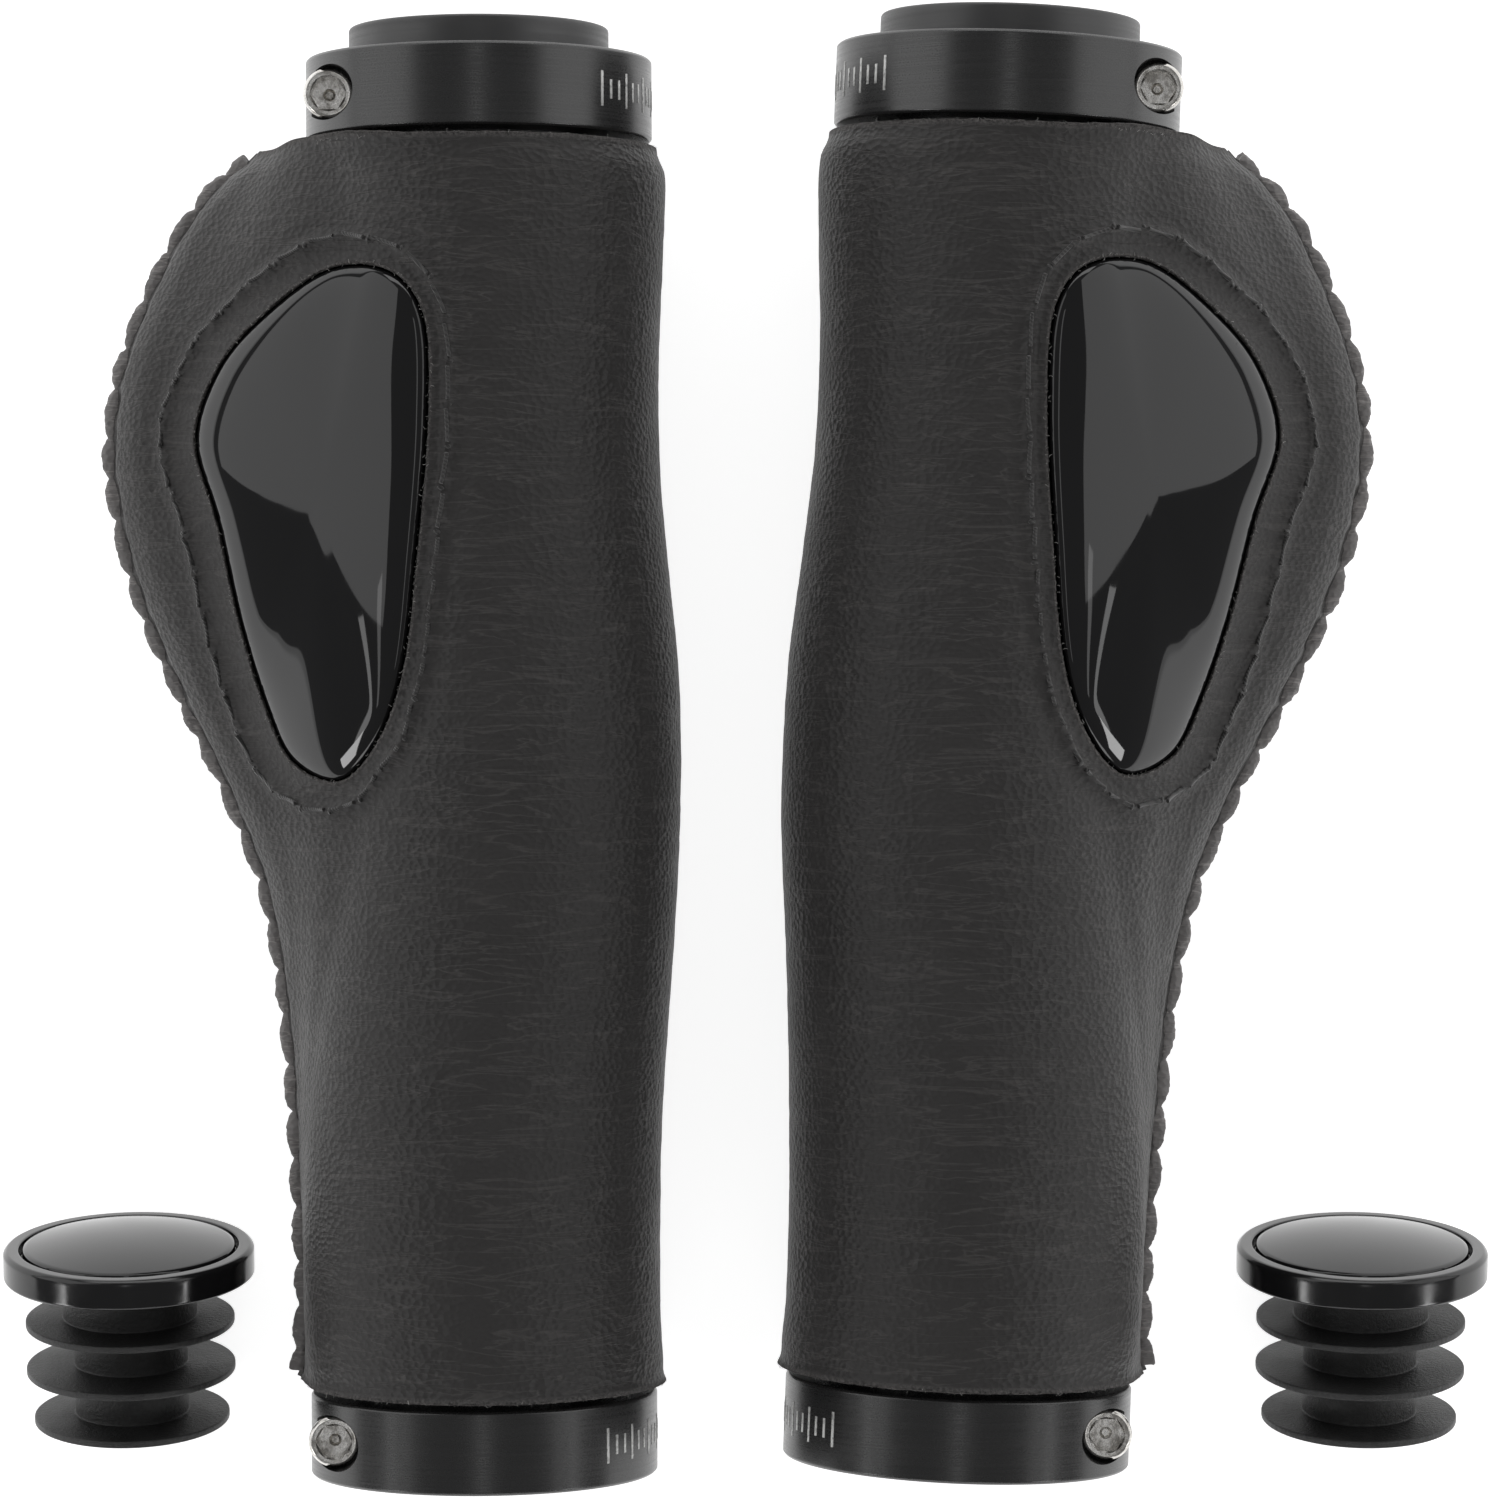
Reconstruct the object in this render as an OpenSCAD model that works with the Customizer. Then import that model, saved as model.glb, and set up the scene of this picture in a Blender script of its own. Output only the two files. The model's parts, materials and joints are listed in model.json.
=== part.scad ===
// Pair of leather-wrapped lock-on handlebar grips with two bar end plugs, lying on a flat surface.
// Millimetres, +Z up. Each grip's bar axis runs along Y, its outboard end towards +Y.
// The origin is on the surface, under the middle of the set.

/* [Handlebar] */
// Diameter of the handlebar that the grips clamp on
bar_d = 22.2; // [22.0:0.1:22.4]
// Inner diameter of the handlebar tube that the plugs push into
tube_inner_d = 18.6; // [18:0.1:19.5]

/* [Grip] */
// Length between the outer faces of the two clamp rings
grip_len = 134.7; // [130:0.1:140]
// Outer diameter of the core tube
core_d = 24.8; // [24.6:0.1:25]
// Length of core tube that shows past the outer ring
core_lip = 3; // [2:0.1:5]
// Radius of the wrapped barrel
barrel_r = 17; // [16.8:0.1:17.4]
// How far the barrel swells to the front under the fingers
finger_swell = 2.1; // [1:0.1:3]
// Reach of the palm wing from the bar's axis
wing_reach = 36; // [33:0.1:38]
// Radius of the wing's edge where the wing is widest
wing_edge_r = 8.5; // [8:0.1:9.5]
// Thickness of the leather
leather_t = 1.3; // [1:0.1:1.5]
// How far the insert's dome stands above the leather
insert_rise = 1.2; // [0.6:0.1:1.5]
// Layer of glue between the leather and the palm body
glue_t = 0.06; // [0.05:0.01:0.1]

/* [Clamp rings] */
// Outer diameter of a clamp ring
ring_d = 33; // [32.6:0.1:33.6]
// Width of a clamp ring
ring_w = 7.8; // [7.5:0.05:8.5]
// Gap between a ring and the leather
ring_gap = 0.75; // [0.3:0.05:1.2]
// Width of the slit where a ring is split
ring_split = 1; // [0.8:0.1:1.4]
// Thread diameter of the clamp screws
screw_d = 2.5; // [2.3:0.1:2.5]
// Head diameter of the clamp screws
screw_head_d = 4.8; // [4.5:0.1:4.9]
// Width across the flats of the clamp screws' hexagon socket
socket_af = 3; // [2:0.1:3]

/* [Plugs] */
// Diameter of a plug's head
plug_head_d = 24.1; // [23:0.1:25]
// Thickness of a plug's head at its rim
plug_head_t = 2.9; // [2.5:0.1:3.3]
// Thickness of a plug's fins
fin_t = 0.65; // [0.5:0.05:0.9]

/* [Layout] */
// Distance of the left grip's axis from the middle of the set
left_x = 25.2; // [24:0.1:30]
// Distance of the right grip's axis from the middle of the set
right_x = 22.7; // [22:0.1:30]
// Angle that the left grip is turned by, its outboard end away from the right one
left_turn = 0.25; // [0:0.05:2]
// Angle that the right grip is turned by, its outboard end away from the left one
right_turn = 2.2; // [0:0.1:4]
// Distance of each plug's head from the middle of the set, sideways
plug_x = 59.5; // [59:0.1:66]
// Distance of each plug's head from the middle of the set, towards the inboard end
plug_y = 48.6; // [40:0.1:55]

/* [Hidden] */
$fn = 96;
EPS = 0.01;
BIG = 60;

// The leather runs between the two rings.
wrap_start = ring_w + ring_gap;
wrap_end = grip_len - ring_w - ring_gap;
wrap_len = wrap_end - wrap_start;

// Share of the wing's extra reach at points along the leather, from the inboard end (0) to the outboard (1)
WING_SHAPE = [
    [0, 0.03], [0.06, 0], [0.15, 0.02], [0.3, 0.08], [0.4, 0.19], [0.48, 0.39], [0.56, 0.64], [0.64, 0.855],
    [0.72, 0.98], [0.77, 1], [0.83, 0.935], [0.9, 0.76], [0.95, 0.58], [0.98, 0.4], [1, 0.22]
];
// Share of the finger swell at points along the leather
SWELL_SHAPE = [
    [0, 0.1], [0.06, -0.1], [0.18, 0], [0.3, 0.38], [0.42, 0.86], [0.5, 1], [0.58, 0.86],
    [0.66, 0.45], [0.74, 0.1], [0.82, 0], [0.92, 0.28], [0.98, 0.33], [1, -0.1]
];
// Reach of the wing where there is none: just the barrel
bare_reach = 17.4;
// Radius of the edge there, so that the section is close to a circle
bare_edge_r = 12;
// Height of the flanks' crown and of the hollow under the wing, as a share of a flank's length
crown_share = 0.05;
hollow_share = 0.08;
// Points round a section: on the barrel, on each flank, on the wing's edge above its furthest point and below it
BARREL_STEPS = 14;
FLANK_STEPS = 5;
EDGE_UPPER_STEPS = 3;
EDGE_LOWER_STEPS = 5;
EDGE_POINT = BARREL_STEPS + FLANK_STEPS + EDGE_UPPER_STEPS;
SECTION_POINTS = EDGE_POINT + EDGE_LOWER_STEPS + FLANK_STEPS;
// Sections along the leather
WRAP_STEPS = 30;

// Corners of the tear-shaped window, seen from above, in order round it from its tip
WINDOW_SHAPE = [
    [-13, 65.9], [-17.9, 67.9], [-20.6, 73.4], [-22.9, 81], [-25, 90.6], [-27.2, 98.5], [-24.8, 105.3],
    [-20.1, 110.2], [-13.5, 114.3], [-7.4, 113.6], [-4.2, 109], [-3.9, 99.5], [-5, 87], [-6.4, 76.5],
    [-9, 69.7]
];
WINDOW_MIDDLE = [-14.5, 93];
WINDOW_STEPS = 3;
// How far the stitches keep from the window: more towards the wing's edge and at the window's ends
stitch_near = 1.7;
stitch_far = 3.2;
STITCHES = 40;
stitch_len = 2.3;
stitch_d = 0.5;

// The insert's flange lies under the leather, in a recess of the palm body
flange_w = 2.5;
flange_t = 1;
insert_clearance = 0.1;
// How far the dome's edge lies under the leather's outside
dome_edge = 0.5;
window_clearance = 0.35;

// Clamp ring fit and screw place
ring_clearance = 0.05;
ring_chamfer = 0.25;
screw_x = 13.8;
screw_seat = 5.5;
screw_head_h = 2.5;
screw_len = 12;
socket_depth = 1.6;
// Room round a screw's head, round its shank in the near ear and in the far ear
head_clearance = 0.2;
hole_clearance = 0.1;
thread_clearance = 0.03;
socket_chamfer = 0.2;

// Slots in the core tube under both rings let the rings squeeze it
core_slot_w = 2;
core_slot_len = 7;

// The seam is a low ridge along the wing's edge
seam_rise = 0.7;

// Plug: places measured from the head's top face
plug_disc_d = 20.4;
plug_groove = 0.35;
disc_seat = 1.2;
disc_edge = 1.25;
disc_rise = 1.2;
stem_d = 12.9;
stem_tip_d = 10.9;
plug_len = 18;
fin_root_t = 1.1;
// Depth and diameter of each fin; the stem is thinner below the first one
FINS = [[7.4, tube_inner_d + 1.5], [12.1, tube_inner_d + 1.5], [17, tube_inner_d + 0.2]];

// The set lies on the leather's underside.
axis_z = barrel_r;
// Where the middle of the left grip lies along the set, and how much further outboard the right one lies
left_mid_y = -0.75;
right_shift = 1.07;

// ---------- smooth curves ----------

// Slope of the curve through the points p at point i
function knot_slope(p, i) =
    let (a = max(i - 1, 0), b = min(i + 1, len(p) - 1))
    (p[b].y - p[a].y) / (p[b].x - p[a].x);

// Number of the span of p that holds t
function span_at(p, t, i = 0) = i >= len(p) - 2 || t <= p[i + 1].x ? i : span_at(p, t, i + 1);

// Height at t of the smooth curve through the points p
function smooth_at(p, t) =
    let (i = span_at(p, t), w = p[i + 1].x - p[i].x, u = (t - p[i].x) / w)
    (2 * u ^ 3 - 3 * u ^ 2 + 1) * p[i].y + (u ^ 3 - 2 * u ^ 2 + u) * w * knot_slope(p, i)
    + (3 * u ^ 2 - 2 * u ^ 3) * p[i + 1].y + (u ^ 3 - u ^ 2) * w * knot_slope(p, i + 1);

// Point at u of the smooth closed curve's span between b and c
function round_between(a, b, c, d, u) =
    0.5 * (2 * b + (c - a) * u + (2 * a - 5 * b + 4 * c - d) * u ^ 2 + (3 * b - a - 3 * c + d) * u ^ 3);

// Smooth closed outline through the points p
function round_outline(p, steps) = [
    for (i = [0 : len(p) - 1], k = [0 : steps - 1])
    let (n = len(p)) round_between(p[(i + n - 1) % n], p[i], p[(i + 1) % n], p[(i + 2) % n], k / steps)
];

// ---------- the wrapped body's shape ----------

function wrap_share(y) = (y - wrap_start) / wrap_len;
function reach_at(s) = bare_reach + (wing_reach - bare_reach) * smooth_at(WING_SHAPE, s);
function swell_at(s) = finger_swell * smooth_at(SWELL_SHAPE, s);
function edge_r_at(s) =
    let (u = min(max((reach_at(s) - bare_reach) / 14, 0), 1))
    bare_edge_r + (wing_edge_r - bare_edge_r) * u * u * (3 - 2 * u);
function barrel_centre(s) = [swell_at(s), 0];
function edge_centre(s) = [edge_r_at(s) - reach_at(s), edge_r_at(s) - barrel_r];
// Angle of the line from the edge's centre up to the barrel's centre
function wing_slope(s) =
    let (a = barrel_centre(s), b = edge_centre(s)) atan2(a.y - b.y, a.x - b.x);
function on_circle(centre, r, angle) = centre + r * [cos(angle), sin(angle)];
// Bump that starts and ends level
function bump(u) = sin(180 * u) ^ 2;

// Points of the section at share s of the length, inset from the leather's outside:
// barrel, top flank, wing's edge, underside
function section(s, inset) =
    let (
        a = barrel_centre(s), b = edge_centre(s), ra = barrel_r - inset, rb = edge_r_at(s) - inset,
        top = 90 + 2 * wing_slope(s),
        top_a = on_circle(a, ra, top), top_b = on_circle(b, rb, top),
        low_a = on_circle(a, ra, -90), low_b = on_circle(b, rb, -90),
        flank = norm(a - b)
    )
    concat(
        [for (i = [0 : BARREL_STEPS]) on_circle(a, ra, -90 + (top + 90) * i / BARREL_STEPS)],
        [for (i = [1 : FLANK_STEPS - 1]) let (u = i / FLANK_STEPS)
            top_a + (top_b - top_a) * u + [0, crown_share * flank * bump(u)]],
        [for (i = [0 : EDGE_UPPER_STEPS - 1]) on_circle(b, rb, top + (180 - top) * i / EDGE_UPPER_STEPS)],
        [for (i = [0 : EDGE_LOWER_STEPS]) on_circle(b, rb, 180 + 90 * i / EDGE_LOWER_STEPS)],
        [for (i = [1 : FLANK_STEPS - 1]) let (u = i / FLANK_STEPS)
            low_b + (low_a - low_b) * u + [0, hollow_share * flank * bump(u)]]
    );

// Height of the top at x, inset from the leather's outside
function top_at(x, s, inset) =
    let (
        a = barrel_centre(s), b = edge_centre(s), ra = barrel_r - inset, rb = edge_r_at(s) - inset,
        top = 90 + 2 * wing_slope(s),
        top_a = on_circle(a, ra, top), top_b = on_circle(b, rb, top),
        u = (x - top_a.x) / (top_b.x - top_a.x)
    )
    u < 0 ? a.y + sqrt(max(ra * ra - (x - a.x) ^ 2, 0))
    : u > 1 ? b.y + sqrt(max(rb * rb - (x - b.x) ^ 2, 0))
    : top_a.y + (top_b.y - top_a.y) * u + crown_share * norm(a - b) * bump(u);

// Places of the sections: closer together at both ends, where the shape turns
function wrap_y(i) =
    let (u = i / WRAP_STEPS) wrap_start + wrap_len * (u - 0.04 * sin(360 * u) - 0.02 * sin(720 * u));

function section_3d(i, inset) =
    let (y = wrap_y(i)) [for (p = section(wrap_share(y), inset)) [p.x, y, p.y]];

// Two triangles between neighbouring points j and j + 1 of the rings that start at points a and b
function band(a, b, n) = [
    for (j = [0 : n - 1])
    let (k = (j + 1) % n)
    each [[a + j, b + j, a + k], [a + k, b + j, b + k]]
];

// Solid through a list of rings of n points, closed by flat ends
module ring_stack(rings, n) {
    last = (len(rings) - 1) * n;
    polyhedron(
        points = [for (ring = rings) each ring],
        faces = concat(
            [for (i = [0 : len(rings) - 2]) each band(i * n, (i + 1) * n, n)],
            [[for (j = [0 : n - 1]) j]],
            [[for (j = [n - 1 : -1 : 0]) last + j]]
        )
    );
}

module wrap_body(inset) {
    ring_stack([for (i = [0 : WRAP_STEPS]) section_3d(i, inset)], SECTION_POINTS);
}

// Tube between two insets, closed by flat rims
module wrap_shell(outer_inset, inner_inset) {
    n = SECTION_POINTS;
    outer = [for (i = [0 : WRAP_STEPS]) section_3d(i, outer_inset)];
    inner = [for (i = [WRAP_STEPS : -1 : 0]) section_3d(i, inner_inset)];
    rings = concat(outer, inner);
    polyhedron(
        points = [for (ring = rings) each ring],
        faces = [for (i = [0 : len(rings) - 1]) each band(i * n, ((i + 1) % len(rings)) * n, n)]
    );
}

// ---------- the window, the insert and the stitches ----------

WINDOW = round_outline(WINDOW_SHAPE, WINDOW_STEPS);

// Direction out of the window at its point i
function window_out(i) =
    let (n = len(WINDOW), t = WINDOW[(i + 1) % n] - WINDOW[(i + n - 1) % n])
    [-t.y, t.x] / norm(t);

// The window's outline, scaled about its middle, then moved outwards by grow, at an inset
function window_ring(scaling, grow, inset) = [
    for (i = [0 : len(WINDOW) - 1])
    let (p = WINDOW_MIDDLE + (WINDOW[i] - WINDOW_MIDDLE) * scaling + window_out(i) * grow)
    [p.x, p.y, top_at(p.x, wrap_share(p.y), inset)]
];

// Inset of the dome at a share of the way from its middle to its edge
function dome_inset(share) = dome_edge - (dome_edge + insert_rise) * (1 - share ^ 2) ^ 0.7;

module insert_shape() {
    n = len(WINDOW);
    flange_grow = flange_w - insert_clearance;
    under_leather = leather_t + insert_clearance;
    ring_stack(concat(
        [for (u = [0.08, 0.35, 0.6, 0.78, 0.9, 0.97, 1]) window_ring(u, -window_clearance, dome_inset(u))],
        [window_ring(1, -window_clearance, under_leather)],
        [window_ring(1, flange_grow, under_leather)],
        [window_ring(1, flange_grow, under_leather + flange_t)],
        [for (u = [0.7, 0.35, 0.08]) window_ring(u, 0, under_leather + flange_t)]
    ), n);
}

// Space in the palm body that the insert's flange and dome lie in
module insert_recess() {
    n = len(WINDOW);
    depth = leather_t + flange_t + 2 * insert_clearance;
    ring_stack(concat(
        [for (u = [0.08, 0.5, 1]) window_ring(u, u == 1 ? flange_w : 0, 0)],
        [window_ring(1, flange_w, depth)],
        [for (u = [0.7, 0.35, 0.08]) window_ring(u, 0, depth)]
    ), n);
}

module window_cut() {
    translate([0, 0, -4])
        linear_extrude(BIG)
            polygon(WINDOW);
}

// Gap from the window to the stitches: small on the straight barrel side, wider elsewhere
function stitch_gap(out) = stitch_near + (stitch_far - stitch_near) * (1 - out.x) / 2;

STITCH_PATH = [
    for (i = [0 : len(WINDOW)])
    let (k = i % len(WINDOW)) WINDOW[k] + window_out(k) * stitch_gap(window_out(k))
];

// Length of the stitch path up to each of its points
function running_length(path, i = 0, sum = 0) =
    i == len(path) - 1 ? [sum]
    : concat([sum], running_length(path, i + 1, sum + norm(path[i + 1] - path[i])));

STITCH_LENGTHS = running_length(STITCH_PATH);

// Point on the leather at length d along the stitch path
function stitch_spot(d) =
    let (
        n = len(STITCH_PATH), whole = STITCH_LENGTHS[n - 1], e = (d % whole + whole) % whole,
        i = max([for (j = [0 : n - 2]) if (STITCH_LENGTHS[j] <= e) j]),
        f = (e - STITCH_LENGTHS[i]) / (STITCH_LENGTHS[i + 1] - STITCH_LENGTHS[i]),
        m = STITCH_PATH[i] + (STITCH_PATH[i + 1] - STITCH_PATH[i]) * f
    )
    [m.x, m.y, top_at(m.x, wrap_share(m.y), 0)];

module rod(from, to, d) {
    v = to - from;
    translate(from)
        rotate([0, acos(v.z / norm(v)), atan2(v.y, v.x)])
            cylinder(h = norm(v), d = d, $fn = 24);
}

// ---------- the grip's sub-parts, on a bar axis along Y with the inboard end at y = 0 ----------

module along_y(y) {
    translate([0, y, 0])
        rotate([-90, 0, 0])
            children();
}

module core_tube() {
    tube_len = grip_len + core_lip;
    outboard_slot_y = grip_len - core_slot_len - 0.5;
    color([0.13, 0.13, 0.14])
        difference() {
            along_y(0) cylinder(h = tube_len, d = core_d);
            along_y(-1) cylinder(h = tube_len + 2, d = bar_d);
            for (turn = [0, 90, 270], y = [-1, outboard_slot_y])
                rotate([0, turn, 0])
                    translate([0, y, -core_slot_w / 2])
                        cube([core_d, core_slot_len + (y < 0 ? 1 : 0), core_slot_w]);
        }
}

module palm_body() {
    color([0.16, 0.16, 0.16])
        difference() {
            wrap_body(leather_t + glue_t);
            along_y(-1) cylinder(h = grip_len, d = core_d);
            insert_recess();
        }
}

module leather_sleeve() {
    color([0.23, 0.22, 0.22])
        difference() {
            wrap_shell(0, leather_t);
            window_cut();
        }
}

module palm_insert() {
    color([0.05, 0.05, 0.055])
        insert_shape();
}

// Ridge on the section's edge points, so that it meets the leather face to face
module edge_seam() {
    e = EDGE_POINT;
    rings = [
        for (i = [1 : WRAP_STEPS - 1])
        let (on = section_3d(i, 0), off = section_3d(i, -seam_rise))
        [on[e - 1], on[e], on[e + 1], (on[e + 1] + off[e + 1]) / 2, off[e], (on[e - 1] + off[e - 1]) / 2]
    ];
    color([0.28, 0.27, 0.27])
        ring_stack(rings, 6);
}

module window_stitching() {
    pitch = STITCH_LENGTHS[len(STITCH_PATH) - 1] / STITCHES;
    color([0.3, 0.3, 0.3])
        for (i = [0 : STITCHES - 1])
            rod(stitch_spot(i * pitch), stitch_spot(i * pitch + stitch_len), stitch_d);
}

module clamp_ring(y) {
    r = ring_d / 2;
    inner_r = core_d / 2 + ring_clearance;
    c = ring_chamfer;
    color([0.1, 0.1, 0.11])
        difference() {
            along_y(y)
                rotate_extrude()
                    polygon([
                        [inner_r, 0], [r - c, 0], [r, c], [r, ring_w - c], [r - c, ring_w], [inner_r, ring_w]
                    ]);
            translate([-ring_d, y - 1, -ring_split / 2])
                cube([ring_d, ring_w + 2, ring_split]);
            translate([-screw_x, y + ring_w / 2, screw_seat])
                cylinder(h = BIG, d = screw_head_d + 2 * head_clearance);
            translate([-screw_x, y + ring_w / 2, 0])
                cylinder(h = BIG, d = screw_d + 2 * hole_clearance);
            translate([-screw_x, y + ring_w / 2, -BIG])
                cylinder(h = BIG, d = screw_d + 2 * thread_clearance);
        }
}

module clamp_screw(y) {
    r = screw_head_d / 2;
    c = 0.35;
    shank_r = screw_d / 2;
    color([0.75, 0.75, 0.76])
        translate([-screw_x, y + ring_w / 2, screw_seat + thread_clearance])
            difference() {
                rotate_extrude()
                    polygon([
                        [0, -screw_len], [shank_r - c, -screw_len], [shank_r, c - screw_len], [shank_r, 0],
                        [r, 0], [r, screw_head_h - c], [r - c, screw_head_h], [0, screw_head_h]
                    ]);
                translate([0, 0, screw_head_h - socket_depth])
                    cylinder(h = BIG, d = socket_af / cos(30), $fn = 6);
                translate([0, 0, screw_head_h - socket_chamfer])
                    cylinder(h = socket_chamfer + EPS, d1 = socket_af, d2 = socket_af + 2 * socket_chamfer);
            }
}

outer_ring_y = grip_len - ring_w;

// ---------- the plug's sub-parts, standing on its axis with the head's face at z = 0 ----------

module plug_body() {
    color([0.1, 0.1, 0.1])
        union() {
            translate([0, 0, -FINS[0][0]])
                cylinder(h = FINS[0][0] - plug_head_t, d = stem_d);
            rotate_extrude()
                polygon([
                    [0, -FINS[0][0]], [stem_tip_d / 2, -FINS[0][0]], [stem_tip_d / 2, 0.8 - plug_len],
                    [stem_tip_d / 2 - 0.8, -plug_len], [0, -plug_len]
                ]);
            for (fin = FINS)
                rotate_extrude()
                    polygon([
                        [0, fin_root_t / 2 - fin[0]], [stem_tip_d / 2, fin_root_t / 2 - fin[0]],
                        [fin[1] / 2, fin_t / 2 - fin[0]], [fin[1] / 2, -fin_t / 2 - fin[0]],
                        [stem_tip_d / 2, -fin_root_t / 2 - fin[0]], [0, -fin_root_t / 2 - fin[0]]
                    ]);
        }
}

module plug_cap() {
    r = plug_head_d / 2;
    c = 0.3;
    seat_r = plug_disc_d / 2 + plug_groove;
    color([0.06, 0.06, 0.06])
        rotate_extrude()
            polygon([
                [0, -plug_head_t], [r - c, -plug_head_t], [r, c - plug_head_t], [r, -c], [r - c, 0],
                [seat_r, 0], [seat_r, -disc_seat], [0, -disc_seat]
            ]);
}

// Disc with a domed face, lying in the cap's seat
module plug_disc() {
    r = plug_disc_d / 2;
    dome_r = (r * r + disc_rise * disc_rise) / (2 * disc_rise);
    dome_mid = disc_rise - dome_r + disc_edge - disc_seat;
    color([0.3, 0.3, 0.31])
        rotate_extrude()
            polygon(concat(
                [[0, -disc_seat], [r, -disc_seat]],
                [for (i = [0 : 12]) let (x = r * (1 - i / 12)) [x, dome_mid + sqrt(dome_r * dome_r - x * x)]]
            ));
}

// ---------- places in the set ----------

// Puts the middle of a grip at x, y, turned about the vertical
module on_grip(x, y, turn) {
    translate([x, y, axis_z])
        rotate([0, 0, turn])
            translate([0, -(grip_len + core_lip) / 2, 0])
                children();
}

module on_left() {
    on_grip(-left_x, left_mid_y, left_turn)
        children();
}

module on_right() {
    on_grip(right_x, left_mid_y + right_shift, -right_turn)
        mirror([1, 0, 0])
            children();
}

// A plug lies on its side, on the head's rim and the last fin, its head a little raised
module as_plug(x) {
    last = FINS[len(FINS) - 1];
    head_r = plug_head_d / 2;
    lean = atan((head_r - last[1] / 2) / (last[0] + fin_t / 2 - plug_head_t));
    translate([x, -plug_y, plug_head_t * sin(lean) + head_r * cos(lean)])
        rotate([lean - 90, 0, 0])
            children();
}

on_left() core_tube();  // left_core_tube
on_left() palm_body();  // left_palm_body
on_left() leather_sleeve();  // left_leather_sleeve
on_left() palm_insert();  // left_palm_insert
on_left() edge_seam();  // left_edge_seam
on_left() window_stitching();  // left_window_stitching
on_left() clamp_ring(outer_ring_y);  // left_outer_ring
on_left() clamp_ring(0);  // left_inner_ring
on_left() clamp_screw(outer_ring_y);  // left_outer_screw
on_left() clamp_screw(0);  // left_inner_screw
on_right() core_tube();  // right_core_tube
on_right() palm_body();  // right_palm_body
on_right() leather_sleeve();  // right_leather_sleeve
on_right() palm_insert();  // right_palm_insert
on_right() edge_seam();  // right_edge_seam
on_right() window_stitching();  // right_window_stitching
on_right() clamp_ring(outer_ring_y);  // right_outer_ring
on_right() clamp_ring(0);  // right_inner_ring
on_right() clamp_screw(outer_ring_y);  // right_outer_screw
on_right() clamp_screw(0);  // right_inner_screw
as_plug(-plug_x) plug_body();  // left_plug_body
as_plug(-plug_x) plug_cap();  // left_plug_cap
as_plug(-plug_x) plug_disc();  // left_plug_disc
as_plug(plug_x) plug_body();  // right_plug_body
as_plug(plug_x) plug_cap();  // right_plug_cap
as_plug(plug_x) plug_disc();  // right_plug_disc
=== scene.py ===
# %% [markdown]
# # A pair of leather bar grips and their bar end plugs
# The set lies on a pale table and is looked at from straight above. The CAD model already holds every part
# in its place, so this lesson only dresses it: it builds fine meshes where a surface is looked at closely,
# and gives every part its finish. Inside a part, lengths are in millimetres, as a maker would measure them.
# They become metres at the moment when the part is put in its place.

# %% Load the CAD model
import json
import math

import bmesh
import bpy
import numpy as np
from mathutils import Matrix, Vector, geometry, noise


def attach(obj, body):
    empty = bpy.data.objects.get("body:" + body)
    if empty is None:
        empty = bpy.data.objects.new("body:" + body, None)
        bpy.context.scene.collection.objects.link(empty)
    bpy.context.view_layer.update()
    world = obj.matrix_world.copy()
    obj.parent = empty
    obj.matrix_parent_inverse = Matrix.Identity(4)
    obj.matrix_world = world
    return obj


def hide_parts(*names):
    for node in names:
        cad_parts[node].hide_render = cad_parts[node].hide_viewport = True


MM = 0.001
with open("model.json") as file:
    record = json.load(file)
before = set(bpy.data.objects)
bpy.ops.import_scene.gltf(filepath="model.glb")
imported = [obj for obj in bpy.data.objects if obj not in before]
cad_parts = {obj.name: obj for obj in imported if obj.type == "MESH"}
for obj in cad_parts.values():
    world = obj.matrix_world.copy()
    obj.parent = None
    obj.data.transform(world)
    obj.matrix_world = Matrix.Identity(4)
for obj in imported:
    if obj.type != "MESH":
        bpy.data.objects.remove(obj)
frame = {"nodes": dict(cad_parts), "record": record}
bpy.context.view_layer.update()
mounts = {m["name"]: m for m in frame["record"]["mounts"]}

# %% [markdown]
# ## Camera
# A long lens half a metre above the bars keeps both grips almost free of perspective. It looks straight
# down, so nothing leans. The picture's middle lies a little nearer to the inboard ends than the camera
# does, and a small lens shift brings it there without tilting the view.

# %% Camera
axis_z = mounts["left_bar_bore"]["pos_m"][2]
grips_mid_y = mounts["left_bar_bore"]["pos_m"][1]
camera_distance = 0.5
view_height = 0.1434  # what the picture's long side shows at the height of the bars
camera_offset = 0.00574

lens = bpy.data.cameras.new("camera")
lens.sensor_width = 36
lens.lens = lens.sensor_width * camera_distance / view_height
lens.shift_y = -camera_offset / view_height
lens.clip_start, lens.clip_end = 0.01, 20
camera = bpy.data.objects.new("camera", lens)
camera.location = (0, grips_mid_y + camera_offset, axis_z + camera_distance)
bpy.context.scene.collection.objects.link(camera)
bpy.context.scene.camera = camera
print("lens, mm:", round(lens.lens, 1))

# %% [markdown]
# ## Table and light
# Black leather and black gloss have hardly any colour of their own: what is seen is the light that they
# throw back. A white table that glows a little, like the opal sheet of a photographer's light table, gives
# every outline a bright rim. Soft boxes stand low round the set, so that a flat black face sees the dim
# room above, and only a face that leans sees a box. The palm inserts lean outwards by about 34 degrees, so
# from above their polished faces show what stands a third of the way up on their own side: a large box for
# the outboard half, two thin strips for the inboard half and a small bright window for the tip.

# %% Table and room
def link(obj):
    bpy.context.scene.collection.objects.link(obj)
    return obj


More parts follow.
